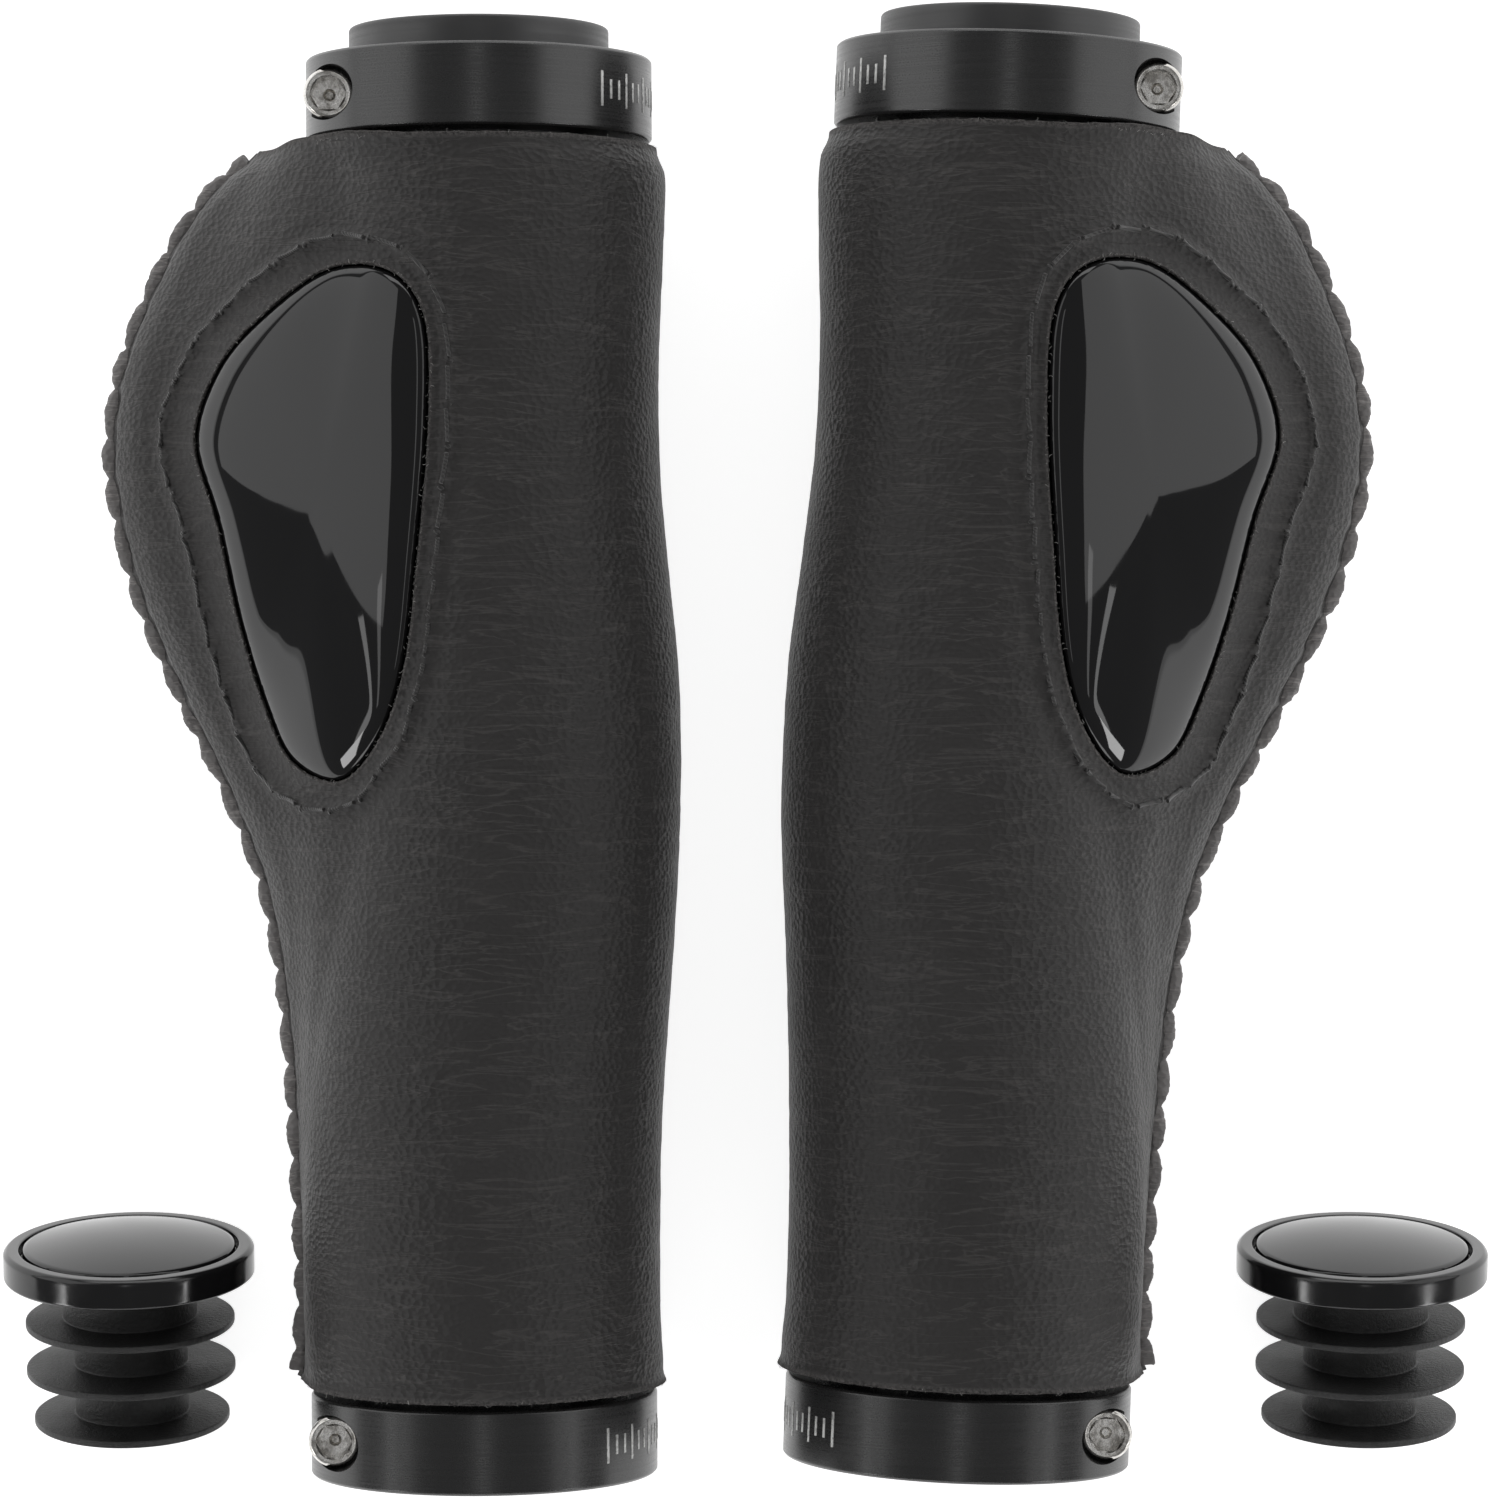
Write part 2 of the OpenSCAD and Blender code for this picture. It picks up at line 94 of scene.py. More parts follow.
def soft_table(size, glow):
    mesh = bpy.data.meshes.new("table")
    h = size / 2
    mesh.from_pydata([(-h, -h, 0), (h, -h, 0), (h, h, 0), (-h, h, 0)], [], [(0, 1, 2, 3)])
    material = bpy.data.materials.new("opal_sheet")
    material.use_nodes = True
    shader = material.node_tree.nodes["Principled BSDF"]
    shader.inputs["Base Color"].default_value = (0.86, 0.86, 0.86, 1)
    shader.inputs["Roughness"].default_value = 0.6
    shader.inputs["Emission Color"].default_value = (1, 1, 1, 1)
    shader.inputs["Emission Strength"].default_value = glow
    mesh.materials.append(material)
    table = link(bpy.data.objects.new("table", mesh))
    return table


table = soft_table(6, 0.8)
world = bpy.data.worlds.new("room")
world.use_nodes = True
world.node_tree.nodes["Background"].inputs["Color"].default_value = (1, 1, 1, 1)
world.node_tree.nodes["Background"].inputs["Strength"].default_value = 0.22
bpy.context.scene.world = world
bpy.context.scene.view_settings.view_transform = "Standard"

# %% Soft boxes
def soft_box(name, place, target, width, height, radiance):
    """A rectangle of light, given by how bright its face looks rather than by its power."""
    lamp = bpy.data.lights.new(name, "AREA")
    lamp.shape = "RECTANGLE"
    lamp.size, lamp.size_y = width, height
    lamp.energy = radiance * math.pi * width * height
    obj = link(bpy.data.objects.new(name, lamp))
    obj.location = place
    obj.rotation_euler = (Vector(target) - Vector(place)).to_track_quat("-Z", "Y").to_euler()
    return obj


middle = (0, 0, axis_z)


def towards(side, azimuth, elevation, distance=0.8):
    """A place seen from the middle: azimuth turns from +Y towards that side, in degrees."""
    a, e = math.radians(azimuth), math.radians(elevation)
    level = distance * math.cos(e)
    return side * level * math.sin(a), level * math.cos(a), axis_z + distance * math.sin(e)


soft_box("box_outboard", towards(1, 0, 20), middle, 0.8, 0.28, 2.4)
soft_box("box_inboard", towards(1, 180, 22), middle, 0.6, 0.2, 3.0)
for side, word in ((-1, "left"), (1, "right")):
    soft_box(f"box_{word}", towards(side, 64, 25), middle, 0.82, 0.64, 1.15)
    soft_box(f"low_strip_{word}", towards(side, 106, 27), middle, 0.26, 0.045, 2.6)
    soft_box(f"high_strip_{word}", towards(side, 106, 38), middle, 0.26, 0.04, 1.5)
    soft_box(f"window_{word}", towards(side, 124, 22), middle, 0.2, 0.16, 8.0)
soft_box("box_above", (0, 0, 1.1), middle, 0.1, 0.9, 1.3)

# %% [markdown]
# ## Tools for the finishes
# Every finish starts from Blender's own shader. Its even values are set on its sockets, and nodes only
# carry what changes over the surface. Patterns read Object coordinates, which are metres here, so a noise
# scale of 1000 makes spots about a millimetre wide.

# %% Material tools
class Finish:
    """One material, with short words for adding nodes to it."""

    def __init__(self, name, colour, roughness, **sockets):
        self.material = bpy.data.materials.new(name)
        self.material.use_nodes = True
        self.tree = self.material.node_tree
        self.shader = self.tree.nodes["Principled BSDF"]
        self.shader.inputs["Base Color"].default_value = (*colour, 1)
        self.shader.inputs["Roughness"].default_value = roughness
        for socket, value in sockets.items():
            self.shader.inputs[socket.replace("_", " ")].default_value = value
        self.place = self.node("ShaderNodeTexCoord").outputs["Object"]

    def node(self, kind, **settings):
        n = self.tree.nodes.new(kind)
        for key, value in settings.items():
            setattr(n, key, value)
        return n

    def join(self, source, target):
        self.tree.links.new(source, target)

    def stretched(self, scale, turn=0.0):
        """Object coordinates, scaled by three numbers and turned about the vertical."""
        m = self.node("ShaderNodeMapping")
        m.inputs["Scale"].default_value = scale
        m.inputs["Rotation"].default_value = (0, 0, turn)
        self.join(self.place, m.inputs["Vector"])
        return m.outputs["Vector"]

    def noise(self, scale, detail=3.0, roughness=0.5, where=None, distortion=0.0):
        n = self.node("ShaderNodeTexNoise")
        n.inputs["Scale"].default_value = scale
        n.inputs["Detail"].default_value = detail
        n.inputs["Roughness"].default_value = roughness
        n.inputs["Distortion"].default_value = distortion
        self.join(where or self.place, n.inputs["Vector"])
        return n.outputs["Fac"]

    def cells(self, scale, feature="F1", where=None, smoothness=None):
        n = self.node("ShaderNodeTexVoronoi", feature=feature)
        n.inputs["Scale"].default_value = scale
        if smoothness is not None:
            n.inputs["Smoothness"].default_value = smoothness
        self.join(where or self.place, n.inputs["Vector"])
        return n.outputs["Distance"]

    def between(self, value, low, high, to_low=0.0, to_high=1.0):
        """value from low..high, brought to to_low..to_high and kept there."""
        n = self.node("ShaderNodeMapRange")
        for socket, number in (
            ("From Min", low), ("From Max", high), ("To Min", to_low), ("To Max", to_high),
        ):
            n.inputs[socket].default_value = number
        self.join(value, n.inputs["Value"])
        return n.outputs["Result"]

    def maths(self, operation, a, b):
        n = self.node("ShaderNodeMath", operation=operation)
        for socket, value in zip(n.inputs, (a, b)):
            if isinstance(value, (int, float)):
                socket.default_value = value
            else:
                self.join(value, socket)
        return n.outputs[0]

    def colours(self, share, low, high):
        n = self.node("ShaderNodeMix", data_type="RGBA")
        for socket, value in ((n.inputs[6], low), (n.inputs[7], high)):
            if isinstance(value, tuple):
                socket.default_value = (*value, 1)
            else:
                self.join(value, socket)
        self.join(share, n.inputs[0])
        return n.outputs[2]

    def attribute(self, name):
        return self.node("ShaderNodeAttribute", attribute_name=name).outputs["Fac"]

    def bump(self, height, depth, strength=1.0, under=None):
        """depth is what a height of one stands for, in millimetres."""
        n = self.node("ShaderNodeBump")
        n.inputs["Strength"].default_value = strength
        n.inputs["Distance"].default_value = depth * MM
        self.join(height, n.inputs["Height"])
        if under is not None:
            self.join(under, n.inputs["Normal"])
        return n.outputs["Normal"]

    def finish(self, colour=None, roughness=None, normal=None):
        for socket, value in (("Base Color", colour), ("Roughness", roughness), ("Normal", normal)):
            if value is not None:
                self.join(value, self.shader.inputs[socket])
        return self.material


# %% [markdown]
# ## Leather
# The grain of a printed cowhide has three sizes: pebbles under a millimetre across, thin creases that run
# round the grip because the hide was stretched along it, and pores. Cells make the pebbles, and a noise
# that is squeezed along the bar makes the creases. The cut edge, which an attribute called raw marks, is
# grey and furry.

# %% Leather finish
def leather_finish(name, tone, crease_depth):
    f = Finish(name, (tone, tone, tone), 0.55, Specular_IOR_Level=0.3)
    warped = f.stretched((1.0, 1.35, 1.0))
    pebble = f.cells(1500, "F1", warped)
    pore = f.noise(5200, 2.0, 0.6)
    crease_line = f.noise(1.0, 3.0, 0.55, f.stretched((100, 820, 100), 0.05), 0.8)
    crease = f.between(f.maths("ABSOLUTE", f.maths("SUBTRACT", crease_line, 0.5), 0.0), 0.0, 0.03)
    wide = f.noise(120, 3.0, 0.5)
    raw = f.attribute("raw")
    fur = f.noise(3800, 4.0, 0.75)
    hide = f.colours(wide, (tone * 0.85, tone * 0.81, tone * 0.8), (tone * 1.2, tone * 1.14, tone * 1.12))
    hide = f.colours(crease, (tone * 1.7, tone * 1.6, tone * 1.56), hide)
    suede = f.colours(f.between(fur, 0.35, 0.68), (0.012, 0.011, 0.011), (0.19, 0.18, 0.175))
    normal = f.bump(pore, 0.02)
    normal = f.bump(pebble, 0.15, 1.0, normal)
    normal = f.bump(crease, crease_depth, 1.0, normal)
    normal = f.bump(f.maths("MULTIPLY", fur, raw), 0.25, 1.0, normal)
    shine = f.between(f.maths("ADD", wide, f.maths("MULTIPLY", pore, 0.5)), 0.4, 1.1, 0.43, 0.58)
    shine = f.maths("ADD", shine, f.maths("MULTIPLY", raw, 0.4))
    return f.finish(f.colours(raw, hide, suede), shine, normal)


leather = leather_finish("grained_leather", 0.027, 0.03)
# The seam's lip gets the same leather about five times lighter. This is painted sheen: it stands for the grey
# highlights that the folded edge catches, not for a paler hide.
seam_leather = leather_finish("seam_leather", 0.14, 0.04)

# %% [markdown]
# ## Black finishes
# The palm insert and the plugs' faces are polished black plastic, the clamps are black anodised aluminium
# with the fine rings that a lathe leaves, and the tube, the foam and the plugs' fins are dull. They differ
# in how sharply they throw back the boxes, so most of the work is in the roughness and in very shallow
# bumps.

# %% Black finishes
def gloss_black(name, roughness, waviness):
    f = Finish(name, (0.004, 0.004, 0.0045), roughness, IOR=1.5)
    haze = f.between(f.noise(260, 4.0, 0.65), 0.35, 0.75, roughness, roughness * 2.2)
    return f.finish(None, haze, f.bump(f.noise(90, 2.0), waviness))


def turned_black(name, tone, roughness, rings):
    """Anodised metal with the lathe's rings, which follow each other along the bar."""
    f = Finish(name, (tone, tone, tone * 1.04), roughness, Metallic=0.0, Specular_IOR_Level=0.75)
    lathe = f.noise(1.0, 2.0, 0.6, f.stretched((30, rings, 30)))
    grit = f.noise(6000, 2.0, 0.6)
    matt = f.between(f.maths("ADD", lathe, grit), 0.6, 1.4, roughness * 0.75, roughness * 1.3)
    normal = f.bump(grit, 0.0006, 1.0, f.bump(lathe, 0.0003))
    return f.finish(None, matt, normal)


def dull_black(name, tone, roughness, grain_scale, grain_depth):
    f = Finish(name, (tone, tone, tone), roughness)
    grain = f.noise(grain_scale, 4.0, 0.7)
    patch = f.noise(180, 3.0, 0.5)
    share = f.between(f.maths("MULTIPLY", grain, patch), 0.12, 0.42)
    colour = f.colours(share, (tone * 0.55,) * 3, (tone * 2.1,) * 3)
    polish = f.between(patch, 0.3, 0.7, roughness * 0.85, roughness * 1.1)
    return f.finish(colour, polish, f.bump(grain, grain_depth))


insert_gloss = gloss_black("polished_insert", 0.022, 0.012)
cap_gloss = gloss_black("polished_cap", 0.11, 0.01)
disc_gloss = gloss_black("polished_disc", 0.045, 0.008)
ring_anodised = turned_black("anodised_ring", 0.008, 0.27, 5200)
core_satin = turned_black("satin_core", 0.022, 0.42, 3000)
foam_black = dull_black("palm_foam", 0.016, 0.85, 2200, 0.12)
fin_rubber = dull_black("fin_plastic", 0.014, 0.5, 2600, 0.14)

# %% [markdown]
# ## Steel, thread and print
# The clamp screws are bright stainless steel with faint tool marks. Waxed polyester thread is twisted,
# which a slanted wave shows, and the ticks on the clamps are a thin pale print that has worn a little.

# %% Steel, thread and print
def stainless():
    f = Finish("stainless_screw", (0.62, 0.6, 0.57), 0.16, Metallic=1.0)
    stain = f.noise(900, 4.0, 0.6)
    colour = f.colours(f.between(stain, 0.35, 0.65), (0.46, 0.44, 0.41), (0.74, 0.73, 0.71))
    return f.finish(colour, f.between(stain, 0.3, 0.7, 0.1, 0.3), f.bump(f.noise(2600, 3.0), 0.01))


def waxed_thread():
    f = Finish("waxed_thread", (0.012, 0.011, 0.011), 0.5, Sheen_Weight=0.25)
    twist = f.node("ShaderNodeTexWave", wave_type="BANDS", bands_direction="DIAGONAL")
    twist.inputs["Scale"].default_value = 1500
    f.join(f.place, twist.inputs["Vector"])
    colour = f.colours(twist.outputs["Fac"], (0.006, 0.006, 0.006), (0.03, 0.028, 0.027))
    return f.finish(colour, None, f.bump(twist.outputs["Fac"], 0.05))


def worn_print():
    f = Finish("pale_print", (0.5, 0.5, 0.49), 0.55)
    wear = f.between(f.noise(1800, 4.0, 0.7), 0.32, 0.5)
    return f.finish(f.colours(wear, (0.16, 0.16, 0.16), (0.55, 0.55, 0.54)), None, f.bump(wear, 0.01))


def loose_fibre():
    f = Finish("loose_fibre", (0.3, 0.29, 0.28), 0.7, Sheen_Weight=0.4)
    return f.finish(f.colours(f.noise(2500, 2.0), (0.14, 0.135, 0.13), (0.5, 0.49, 0.47)))


steel = stainless()
thread = waxed_thread()
pale_print = worn_print()
fibre = loose_fibre()
print("materials:", len(bpy.data.materials))

# %% [markdown]
# ## Where each grip lies
# A grip is built once, in its own frame: the bar's axis runs along Y from the inboard end at zero, the palm
# wing points to -X and up is +Z. The CAD model's record says where each bore is and where it points, and
# that gives the frame's place. The right grip is the left one's mirror image.

# %% Grip frames
class GripFrame:
    def __init__(self, side):
        mount = mounts[f"{side}_bar_bore"]
        self.side = side
        self.middle = np.array(mount["pos_m"])
        self.length = mount["dims"]["length_mm"]
        self.along = -np.array(mount["axis"])
        self.across = np.cross(self.along, (0, 0, 1)) * (1 if side == "left" else -1)

    def place(self, points):
        """Points of a grip, in millimetres, as places in the scene, in metres."""
        p = np.atleast_2d(np.asarray(points, float))
        turned = p[:, :1] * self.across + (p[:, 1:2] - self.length / 2) * self.along
        return self.middle + MM * (turned + p[:, 2:] * np.array((0, 0, 1)))


grips = [GripFrame("left"), GripFrame("right")]
for grip in grips:
    print(grip.side, "grip, length", grip.length, "axis", grip.along.round(4))

# %% Mesh tools
def flat_triangles(faces):
    return np.array([(f[0], f[i], f[i + 1]) for f in faces for i in range(1, len(f) - 1)])


def outward(points, faces):
    """The faces, turned round if the closed mesh is inside out."""
    tris = flat_triangles(faces)
    a, b, c = (points[tris[:, i]] for i in range(3))
    volume = np.einsum("ij,ij->i", a, np.cross(b, c)).sum()
    return [tuple(f[::-1]) for f in faces] if volume < 0 else [tuple(f) for f in faces]


def closed_mesh(name, points, faces, material, smooth=True):
    """A piece from points in metres. Its object stays at the origin."""
    faces = [tuple(int(i) for i in f) for f in faces]
    points = np.asarray(points, float)
    mesh = bpy.data.meshes.new(name)
    mesh.from_pydata(points.tolist(), [], outward(points - points.mean(0), faces))
    mesh.polygons.foreach_set("use_smooth", [smooth] * len(mesh.polygons))
    mesh.materials.append(material)
    mesh.update()
    return link(bpy.data.objects.new(name, mesh))


def band(first, second):
    """Quads between two closed rings of point numbers."""
    n = len(first)
    return [(first[i], first[(i + 1) % n], second[(i + 1) % n], second[i]) for i in range(n)]


# %% [markdown]
# ## The wrapped body's shape
# A cross-section of the body is a belt round two circles: the barrel round the bar, and a smaller one in
# the wing's edge. Both rest on the same level. Three curves along the bar say how far the wing reaches, how
# far the barrel swells under the fingers, and how round the edge is. The same rule shaped the CAD model, so
# the leather made here fits on it exactly.

# %% Driving sizes of the body
barrel_r = 17.0
wing_reach, bare_reach = 36.0, 17.4
wing_edge_r, bare_edge_r = 8.5, 12.0
finger_swell = 2.1
leather_t = 1.3
ring_w, ring_gap, grip_len = 7.8, 0.75, 134.7
wrap_start, wrap_end = ring_w + ring_gap, grip_len - ring_w - ring_gap
crown_share, hollow_share = 0.05, 0.08

wing_shape = [
    (0, 0.03), (0.06, 0), (0.15, 0.02), (0.3, 0.08), (0.4, 0.19), (0.48, 0.39), (0.56, 0.64), (0.64, 0.855),
    (0.72, 0.98), (0.77, 1), (0.83, 0.935), (0.9, 0.76), (0.95, 0.58), (0.98, 0.4), (1, 0.22),
]
swell_shape = [
    (0, 0.1), (0.06, -0.1), (0.18, 0), (0.3, 0.38), (0.42, 0.86), (0.5, 1), (0.58, 0.86),
    (0.66, 0.45), (0.74, 0.1), (0.82, 0), (0.92, 0.28), (0.98, 0.33), (1, -0.1),
]


def smooth_curve(knots, t):
    """Height at t of the smooth curve through the knots."""
    kx, ky = np.array(knots, float).T
    low = np.maximum(np.arange(len(kx)) - 1, 0)
    high = np.minimum(np.arange(len(kx)) + 1, len(kx) - 1)
    slope = (ky[high] - ky[low]) / (kx[high] - kx[low])
    i = np.clip(np.searchsorted(kx, t, side="left") - 1, 0, len(kx) - 2)
    w = kx[i + 1] - kx[i]
    u = (t - kx[i]) / w
    start = (2 * u**3 - 3 * u**2 + 1) * ky[i] + (u**3 - 2 * u**2 + u) * w * slope[i]
    return start + (3 * u**2 - 2 * u**3) * ky[i + 1] + (u**3 - u**2) * w * slope[i + 1]


# %% The section's circles and lengths
class Section:
    """The belt at the places y along the bar: its two circles and the lengths of its five stretches."""

    def __init__(self, y):
        s = (np.asarray(y, float) - wrap_start) / (wrap_end - wrap_start)
        reach = bare_reach + (wing_reach - bare_reach) * smooth_curve(wing_shape, s)
        u = np.clip((reach - bare_reach) / 14, 0, 1)
        self.edge_r = bare_edge_r + (wing_edge_r - bare_edge_r) * u * u * (3 - 2 * u)
        self.ax, self.az = finger_swell * smooth_curve(swell_shape, s), 0.0
        self.bx, self.bz = self.edge_r - reach, self.edge_r - barrel_r
        self.flank = np.hypot(self.ax - self.bx, self.az - self.bz)
        self.top = math.pi / 2 + 2 * np.arctan2(self.az - self.bz, self.ax - self.bx)
        self.lengths = [
            self.edge_r * (math.pi - self.top), self.flank, barrel_r * (self.top + math.pi / 2),
            self.ax - self.bx, self.edge_r * math.pi / 2,
        ]
        self.girth = sum(self.lengths)
        self.ends = np.cumsum(self.lengths, axis=0)


def bump(u):
    return np.sin(math.pi * u) ** 2


def wrap_point(t, y, inset=0.0):
    """Point on the body. t goes once round the section from the seam over the top, y along the bar."""
    s = Section(y)
    d = t * s.girth
    e = [np.zeros_like(d), *s.ends]
    ra, rb = barrel_r - inset, s.edge_r - inset

    def on(cx, cz, r, angle):
        return cx + r * np.cos(angle), cz + r * np.sin(angle)

    share = [np.clip((d - e[i]) / s.lengths[i], 0, 1) for i in range(5)]
    upper = on(s.bx, s.bz, rb, math.pi + (s.top - math.pi) * share[0])
    top_b, top_a = on(s.bx, s.bz, rb, s.top), on(s.ax, s.az, ra, s.top)
    crown = crown_share * s.flank * bump(share[1])
    over = [b + (a - b) * share[1] for a, b in zip(top_a, top_b)]
    barrel = on(s.ax, s.az, ra, s.top - (s.top + math.pi / 2) * share[2])
    hollow = hollow_share * s.flank * bump(share[3])
    under = s.ax + (s.bx - s.ax) * share[3], -barrel_r + inset + hollow
    lower = on(s.bx, s.bz, rb, -math.pi / 2 - math.pi / 2 * share[4])
    parts = [d <= e[1], d <= e[2], d <= e[3], d <= e[4]]
    x = np.select(parts, [upper[0], over[0], barrel[0], under[0]], lower[0])
    z = np.select(parts, [upper[1], over[1] + crown, barrel[1], under[1]], lower[1])
    return np.stack([x, np.broadcast_to(y, x.shape), z], -1)


def round_share(x, y):
    """The t of the point on the body's top that lies at x, y seen from above."""
    s = Section(y)
    top_b, top_a = s.bx + s.edge_r * np.cos(s.top), s.ax + barrel_r * np.cos(s.top)
    on_edge = s.edge_r * (math.pi - np.arccos(np.clip((x - s.bx) / s.edge_r, -1, 1)))
    on_flank = s.lengths[0] + s.flank * (x - top_b) / (top_a - top_b)
    on_barrel = s.ends[1] + barrel_r * (s.top - np.arccos(np.clip((x - s.ax) / barrel_r, -1, 1)))
    return np.where(x < top_b, on_edge, np.where(x < top_a, on_flank, on_barrel)) / s.girth


def top_at(x, y, inset):
    """Height of the body's top at x, y, that far under the leather's outside."""
    s = Section(y)
    ra, rb = barrel_r - inset, s.edge_r - inset
    bx, bz = s.bx + rb * np.cos(s.top), s.bz + rb * np.sin(s.top)
    ax, az = s.ax + ra * np.cos(s.top), s.az + ra * np.sin(s.top)
    u = (x - bx) / (ax - bx)
    flank = bz + (az - bz) * u + crown_share * s.flank * bump(np.clip(u, 0, 1))
    edge = s.bz + np.sqrt(np.maximum(rb * rb - (x - s.bx) ** 2, 0))
    barrel = s.az + np.sqrt(np.maximum(ra * ra - (x - s.ax) ** 2, 0))
    return np.where(u < 0, edge, np.where(u > 1, barrel, flank))


def wrap_normal(t, y):
    d = 1e-4
    around = wrap_point((t + d) % 1, y) - wrap_point((t - d) % 1, y)
    along = wrap_point(t, y + 0.01) - wrap_point(t, y - 0.01)
    n = np.cross(along, around)
    return n / np.linalg.norm(n, axis=-1, keepdims=True)


mid = np.array([40.0, 80.0, 98.0])
print("girth, mm:", Section(mid).girth.round(1), "top of the barrel:", top_at(0.0, mid, 0.0).round(2))

# %% [markdown]
# ## The window
# The leather is cut open over the insert. The opening is a tear drop, drawn as one smooth closed curve
# through a few points. Rings beside it, each a little further out, carry the rolled edge, the row of
# stitches and the flattened band between them.

# %% Window outline
window_knots = np.array([
    (-13, 65.9), (-17.9, 67.9), (-20.6, 73.4), (-22.9, 81), (-25, 90.6), (-27.2, 98.5), (-24.8, 105.3),
    (-20.1, 110.2), (-13.5, 114.3), (-7.4, 113.6), (-4.2, 109), (-3.9, 99.5), (-5, 87), (-6.4, 76.5),
    (-9, 69.7),
])
window_middle = np.array((-14.5, 93.0))
window_points = 360


def round_outline(knots, count):
    """count points, evenly spaced, on the smooth closed curve through the knots."""
    steps = 60
    u = np.arange(steps)[:, None] / steps
    spans = []
    for i in range(len(knots)):
        a, b, c, d = (knots[(i + k) % len(knots)] for k in (-1, 0, 1, 2))
        spans.append(0.5 * (
            2 * b + (c - a) * u + (2 * a - 5 * b + 4 * c - d) * u**2 + (3 * b - a - 3 * c + d) * u**3
        ))
    fine = np.concatenate([*spans, spans[0][:1]])
    run = np.concatenate([[0], np.cumsum(np.linalg.norm(np.diff(fine, axis=0), axis=1))])
    at = np.linspace(0, run[-1], count, endpoint=False)
    return np.stack([np.interp(at, run, fine[:, k]) for k in (0, 1)], -1)


def side_out(outline):
    """Unit directions out of a closed outline that runs clockwise."""
    t = np.roll(outline, -1, 0) - np.roll(outline, 1, 0)
    for _ in range(3):
        t = (np.roll(t, -1, 0) + t + np.roll(t, 1, 0)) / 3
    out = np.stack([-t[:, 1], t[:, 0]], -1)
    return out / np.linalg.norm(out, axis=1, keepdims=True)


window = round_outline(window_knots, window_points)
window_out = side_out(window)
stitch_near, stitch_far = 1.7, 3.2
stitch_gap = stitch_near + (stitch_far - stitch_near) * (1 - window_out[:, 0]) / 2
window_run = np.linalg.norm(np.roll(window, -1, 0) - window, axis=1).sum()
print(
    "window, mm round:", round(window_run, 1),
    "stitches off the edge:", stitch_gap.min().round(2), stitch_gap.max().round(2),
)

# %% [markdown]
# ## Cutting the leather
# A saddler cuts a flat piece first and wraps it afterwards, and so does this cell. The flat cut is a
# rectangle, the way round by the way along, with the window's rings in it and an even lattice of points
# everywhere else. Blender's own triangulation joins the points, and the ones inside the window are thrown
# away.

# %% The flat cut
flat_girth = 118.0


def lattice(spacing):
    """Rows of points over the flat cut, every other row shifted, and the rows' ends on both seam edges."""
    rows = round((wrap_end - wrap_start) / (spacing * 0.87))
    columns = round(flat_girth / spacing)
    points = []
    for r in range(rows + 1):
        y = wrap_start + (wrap_end - wrap_start) * r / rows
        t = (
            np.arange(columns + 1) / columns if r % 2 == 0 or r == rows
            else (np.arange(columns) + 0.5) / columns
        )
        if not (r % 2 == 0 or r == rows):
            t = np.concatenate([[0], t[1:-1], [1]])
        points.append(np.stack([t, np.full(len(t), y)], -1))
    return np.concatenate(points)


def off_window(plan):
    """Distance of points from the window's edge, negative inside it."""
    out = np.empty(len(plan))
    for i in range(0, len(plan), 4000):
        gap = plan[i : i + 4000, None, :] - window[None, :, :]
        far = np.linalg.norm(gap, axis=2)
        near = far.argmin(1)
        rows = np.arange(len(near))
        sign = np.sign((gap[rows, near] * window_out[near]).sum(1))
        out[i : i + 4000] = far[rows, near] * np.where(sign == 0, 1, sign)
    return out


class FlatCut:
    """Points (t, y) of the cut, their distance from the window, and the triangles between them."""

    def __init__(self, spacing, ring_gaps, edge_rows=None):
        rings = []
        for gap in ring_gaps:
            plan = window + window_out * gap
            rings.append(np.stack([round_share(plan[:, 0], plan[:, 1]), plan[:, 1]], -1))
        even = lattice(spacing)
        if edge_rows is not None:  # a coarse cut keeps the fine one's points along its four edges
            inner = (even[:, 0] > 0) & (even[:, 0] < 1) & (even[:, 1] > wrap_start) & (even[:, 1] < wrap_end)
            even = np.concatenate([edge_rows, even[inner]])
        place = wrap_point(even[:, 0], even[:, 1])
        on_top = (place[:, 2] > -barrel_r * 0.8) & (even[:, 0] < 0.62)
        away = np.full(len(even), 50.0)
        away[on_top] = off_window(place[on_top][:, :2])
        keep = away > ring_gaps[-1] + spacing * 0.5
        self.points = np.concatenate([*rings, even[keep]])
        self.away = np.concatenate([*(np.full(window_points, g) for g in ring_gaps), away[keep]])
        self.rings = len(ring_gaps)
        flat = self.points * np.array((flat_girth, 1.0))
        loop = [(i, (i + 1) % window_points) for i in range(window_points)]
        out = geometry.delaunay_2d_cdt([Vector(p) for p in flat], loop, [], 0, 1e-5)
        back = [o[0] if o else -1 for o in out[3]]
        tris = np.array([[back[i] for i in f] for f in out[2]])
        inside = (tris < window_points).all(1) & (off_window(self.plan(tris)) < 0)
        self.triangles = tris[~inside]

    def plan(self, tris):
        centre = self.points[tris].mean(1)
        return wrap_point(centre[:, 0], centre[:, 1])[:, :2]

    def edge(self):
        """The points on the four straight edges."""
        t, y = self.points[:, 0], self.points[:, 1]
        on = (t == 0) | (t == 1) | (np.abs(y - wrap_start) < 1e-6) | (np.abs(y - wrap_end) < 1e-6)
        return np.flatnonzero(on)


ring_gaps = [0, 0.2, 0.45, 0.75, 1.05, 1.35, 1.65, 1.95, 2.25, 2.55, 2.85, 3.15, 3.45, 3.8, 4.2, 4.7, 5.2]
outer_cut = FlatCut(0.62, ring_gaps)
inner_cut = FlatCut(2.4, [0, 1.2, 3.0, 5.0], outer_cut.points[outer_cut.edge()])
print("outer cut:", len(outer_cut.triangles), "triangles, inner:", len(inner_cut.triangles))

